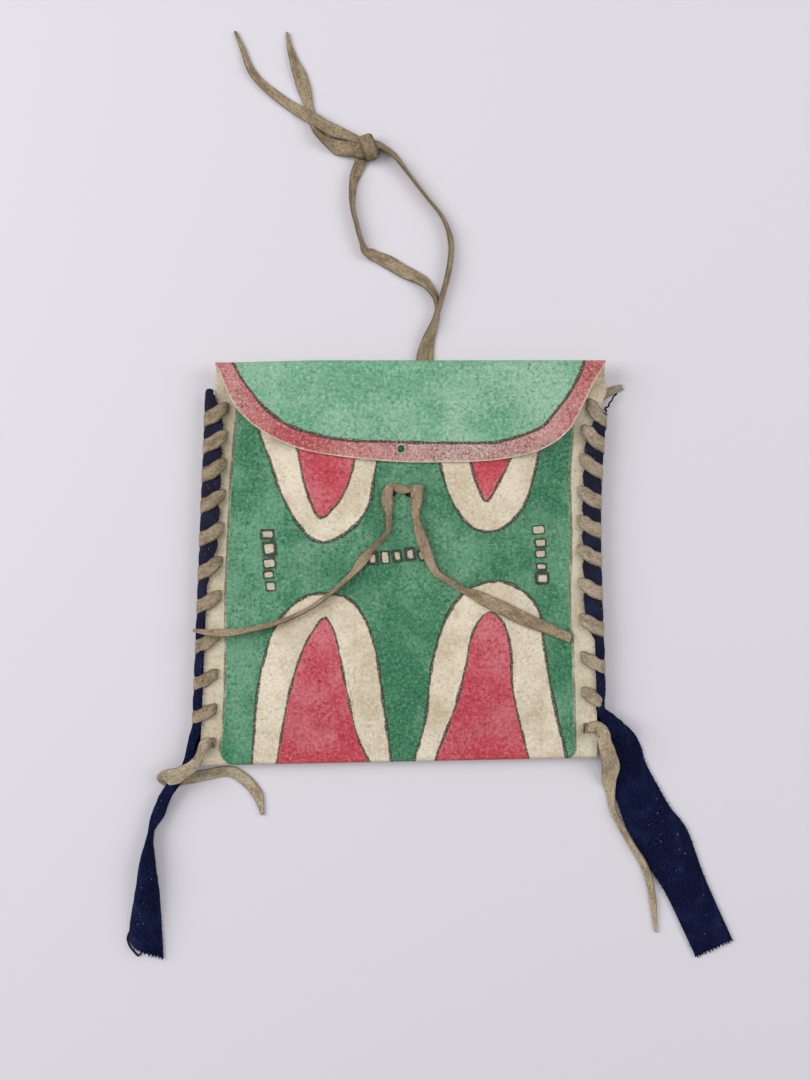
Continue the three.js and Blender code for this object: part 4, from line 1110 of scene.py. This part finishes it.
def laid_out(piece):
    """The points of a punched piece and their places on the flat hide. The new points round a hole get
    the place that they are at, in the layer of their nearest neighbour."""
    points = np.array([v.co for v in piece.data.vertices]) / MM
    flat = np.zeros(points.size, np.float32)
    stored = piece.data.attributes["flat"].data
    stored.foreach_get("vector", flat)
    flat = flat.reshape(-1, 3)
    fresh = ~flat.any(axis=1)
    known = np.flatnonzero(~fresh)
    for k in np.flatnonzero(fresh):
        nearest = known[np.argmin(np.linalg.norm(points[known] - points[k], axis=1))]
        flat[k] = [*points[k, :2], flat[nearest, 2]]
    stored.foreach_set("vector", flat.ravel())
    return points, flat


BACK_LAYER = 7  # keeps the back's grain apart from the front's
OUTER_LAYER = 0.4  # layers below this are the outer face of the hide
PAINT_TURN = 0.9  # how far down the bottom fold the paint goes
FOLD_ROWS, BACK_ROWS, FLAP_ROWS = 12, 56, 58
MOUTH_WAVE, PANEL_WAVE, FLAP_WAVE = (0.5, 60), (0.28, 46), (0.25, 52)  # height and length


def rawhide_rows(columns):
    """Rows down the front, round the bottom fold and up the back: a height, and the turn so far."""
    low = bottom_at(columns) + TURN
    mouth = MOUTH + wave(columns * BOTTOM_WIDTH, 0, *MOUTH_WAVE)
    rows = [(lerp(mouth, low, down), 0.0) for down in fine_steps(0, 1, PITCH / (MOUTH - BOTTOM_FOLD))]
    rows += [(low, angle) for angle in np.linspace(0, math.pi, FOLD_ROWS)[1:]]
    rows += [(lerp(low, TOP_FOLD - CREST, up), math.pi) for up in np.linspace(0, 1, BACK_ROWS)[1:]]
    return rows


def rawhide_face(depth):
    """A grid of points that deep in the hide, and where they lie for its grain and paint."""
    columns = fine_steps(0, BOTTOM_WIDTH, PITCH) / BOTTOM_WIDTH
    points, flat = [], []
    for height, angle in rawhide_rows(columns):
        y = height - (TURN - depth) * np.sin(angle)
        x = lerp(side_edge(-1, y), side_edge(1, y), columns)
        if angle == 0:
            waves = wave(x, y, *PANEL_WAVE) * smooth(columns * (1 - columns), 0.05, 0.12)
            z = front_face(x, y) + waves - depth
        else:
            z = TURN + (TURN - depth) * np.cos(angle) + np.zeros_like(x)
        layer = depth + (BACK_LAYER if angle == math.pi else 0)
        points.append(np.stack([x, y, z], 1))
        flat.append(np.stack([x, height - TURN * np.sin(angle), np.full_like(x, layer)], 1))
    return np.array(points), np.array(flat)


def build_pouch():
    outer, outer_flat = rawhide_face(0)
    inner, inner_flat = rawhide_face(HIDE)
    piece = slab("rawhide_pouch", outer, inner, {"flat": (outer_flat, inner_flat)})
    holes = [(*hole, *FRONT_CUT) for hole in TIE_HOLES] + [(*hole, *BACK_CUT) for hole in HANGER_HOLES]
    punched(piece, holes)
    points, flat = laid_out(piece)
    painted = (flat[:, 2] < OUTER_LAYER) & (points[:, 2] > TURN - PAINT_TURN)
    paint = panel_paint(points[:, :2])
    store(piece.data, {key: np.where(painted, values, UNPAINTED[key]) for key, values in paint.items()})
    piece.data.materials.clear()
    piece.data.materials.append(painted_panel())
    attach(piece, "pouch")
    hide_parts("rawhide_body")


# Flap and top fold, in one sheet that bends at the fold
BAND_LINE = [
    (228, 350), (233, 362), (241.5, 378), (253, 394), (266, 409), (283, 422), (299.5, 429.6), (316, 434.6),
    (336, 439), (400, 442), (459, 443), (497, 442), (507, 439.6), (520, 436), (533.6, 430.7), (544, 425),
    (551, 417), (559.5, 406.6), (566.6, 397.7), (574, 385), (581, 371), (585, 361), (588, 350),
]
TOP_BOW, BOW_STARTS, BOW_ENDS = 0.9, 3, 45  # how far the top fold bulges, and where from its left end
FADED_PLACES = [(25, 44, 1.0), (-68, 12, 0.4)]  # of the red band: middle, reach and how much
ABOVE_PAINT = 200


def fold_point(arc, depth):
    """Height up the pouch and above it, after an arc over the top fold's outer face from the back."""
    angle = np.minimum(arc / CREST, math.pi)
    beyond = np.maximum(arc - math.pi * CREST, 0)
    y = TOP_FOLD - CREST + (CREST - depth) * np.sin(angle) - beyond
    return y, CREST - (CREST - depth) * np.cos(angle)


# Edge of the flap, in half widths from its middle and shares of its depth
FLAP_OUTLINE = [
    (-1, 0), (-0.98, 0.075), (-0.941, 0.25), (-0.875, 0.486), (-0.764, 0.678), (-0.577, 0.858),
    (-0.349, 0.945), (-0.05, 0.998), (0.165, 1), (0.449, 0.974), (0.663, 0.875), (0.796, 0.7),
    (0.855, 0.51), (0.912, 0.284), (0.953, 0.14), (1, 0),
]


def build_flap():
    left, right = side_edge(-1, TOP_FOLD), side_edge(1, TOP_FOLD)
    sideways, down = curve_through(FLAP_OUTLINE, 15).T
    x = (left + right) / 2 + (right - left) / 2 * sideways
    tip = TOP_FOLD - FLAP_DEPTH * np.clip(down, 0, None)
    within = np.clip((tip - TOP_FOLD + CREST) / CREST, 0, 1)
    arcs = np.where(
        tip > TOP_FOLD - CREST,
        CREST * (math.pi - np.arcsin(within)),
        CREST * math.pi + TOP_FOLD - CREST - tip,
    )
    arc = np.linspace(0, 1, FLAP_ROWS)[:, None] * arcs
    laid = TOP_FOLD - CREST - (arc - math.pi * CREST)
    bow = TOP_BOW * smooth(x, left + BOW_STARTS, left + BOW_ENDS) * np.sin(np.minimum(arc / CREST, math.pi))
    lift = wave(x, laid, *FLAP_WAVE) * smooth(arc, math.pi * CREST, math.pi * CREST + 12)
    faces, flats = [], []
    for depth in (0, HIDE):
        y, z = fold_point(arc, depth)
        faces.append(np.stack(np.broadcast_arrays(x, y + bow, z + np.abs(lift)), -1))
        flats.append(np.stack(np.broadcast_arrays(x, laid, depth), -1))
    piece = slab("rawhide_flap", *faces, {"flat": flats})
    punched(piece, [(FLAP_HOLE_X, FLAP_TIP + FLAP_HOLE_RAISE, FLAP_HOLE, *FLAP_CUT)])
    _, flat = laid_out(piece)
    spot = flat[:, :2].astype(float)
    outer = flat[:, 2] < OUTER_LAYER
    band = curve_through(on_flap(BAND_LINE), 8)
    rim = np.stack([x, tip], 1)
    faded = [much * np.exp(-((spot[:, 0] - middle) / reach) ** 2) for middle, reach, much in FADED_PLACES]
    store(piece.data, {
        "band": np.where(outer, -signed_distance(spot, band), -FAR),
        "rim": np.where(outer, distance_to_line(spot, rim), 0),
        "fold": np.where(outer, spot[:, 1], ABOVE_PAINT),
        "faded": sum(faded),
        "hole": np.hypot(spot[:, 0] - FLAP_HOLE_X, spot[:, 1] - FLAP_TIP - FLAP_HOLE_RAISE) - FLAP_HOLE / 2,
        "wash": wash_at(spot, FLAP_WASH, on_flap),
    })
    piece.data.materials.clear()
    piece.data.materials.append(painted_flap())
    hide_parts("flap")
    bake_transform(piece)


def painted_flap():
    g = Graph("painted_flap")
    flat = g.vector("flat")
    band, faded, wash = (g.number(name) for name in ("band", "faded", "wash"))
    paint_end = TOP_FOLD + CREST
    shown = g.step(g.number("fold"), paint_end + 1.5, paint_end - 0.5)
    green = g.times(cover(g, flat, band, 0.0, 0.8, 0.4), shown)
    tone = g.mix(green, hide_tone(g, flat), paint_tone(g, flat, wash, *PALE_GREEN))
    pink = g.mix(faded, paint_tone(g, flat, wash, *BAND_RED), paint_tone(g, flat, wash, *FADED_RED))
    speck = g.noise(flat, 1.25, 3, 0.8)
    pink = g.mix(g.times(g.step(speck, 0.48, 0.37, 0.85), faded), pink, colour(74, 54, 54))
    worn = g.plus(g.times(faded, 0.7), 0.3)
    pink = g.mix(g.times(g.step(speck, 0.53, 0.66, 0.75), worn), pink, colour(228, 204, 194))
    on_band = cover(g, flat, g.number("rim"), -0.1, 0.8, 0.6)
    for limit in (g.step(band, 0.4, -0.4), g.step(g.number("hole"), 0.0, 0.5), shown):
        on_band = g.times(on_band, limit)
    tone = g.mix(on_band, tone, pink)
    line = g.times(stroke(g, flat, g.math("ABSOLUTE", band), 0.62), shown)
    return hide_finish(g, flat, g.mix(line, tone, INK))


build_pouch()
build_flap()

# Floor, lights and view
FLOOR_CLEAR = 0.02
bpy.ops.mesh.primitive_plane_add(size=6, location=(0, 0, (TABLE - FLOOR_CLEAR) * MM))
floor = bpy.context.object
floor.name = "floor"
ground = Graph("floor_white")
ground.shader.inputs["Base Color"].default_value = colour(219, 216, 222)
ground.shader.inputs["Roughness"].default_value = 0.9
floor.data.materials.append(ground.material)

world = bpy.data.worlds.new("studio")
world.use_nodes = True
sky = world.node_tree.nodes["Background"].inputs
sky["Color"].default_value = (0.97, 0.97, 1.0, 1.0)
sky["Strength"].default_value = 0.36
scene.world = world


def softbox(name, place, size, watts):
    lamp = bpy.data.objects.new(name, bpy.data.lights.new(name, "AREA"))
    lamp.data.size = size
    lamp.data.energy = watts
    lamp.location = place
    lamp.rotation_euler = (-lamp.location).to_track_quat("-Z", "Y").to_euler()
    scene.collection.objects.link(lamp)


softbox("left_window", (-1.1, 0.3, 0.8), 0.9, 13)
softbox("right_window", (1.1, 0.25, 0.9), 0.9, 8)
softbox("ceiling", (-0.2, 0.3, 1.5), 1.2, 3)
bpy.context.scene.view_settings.view_transform = "Standard"
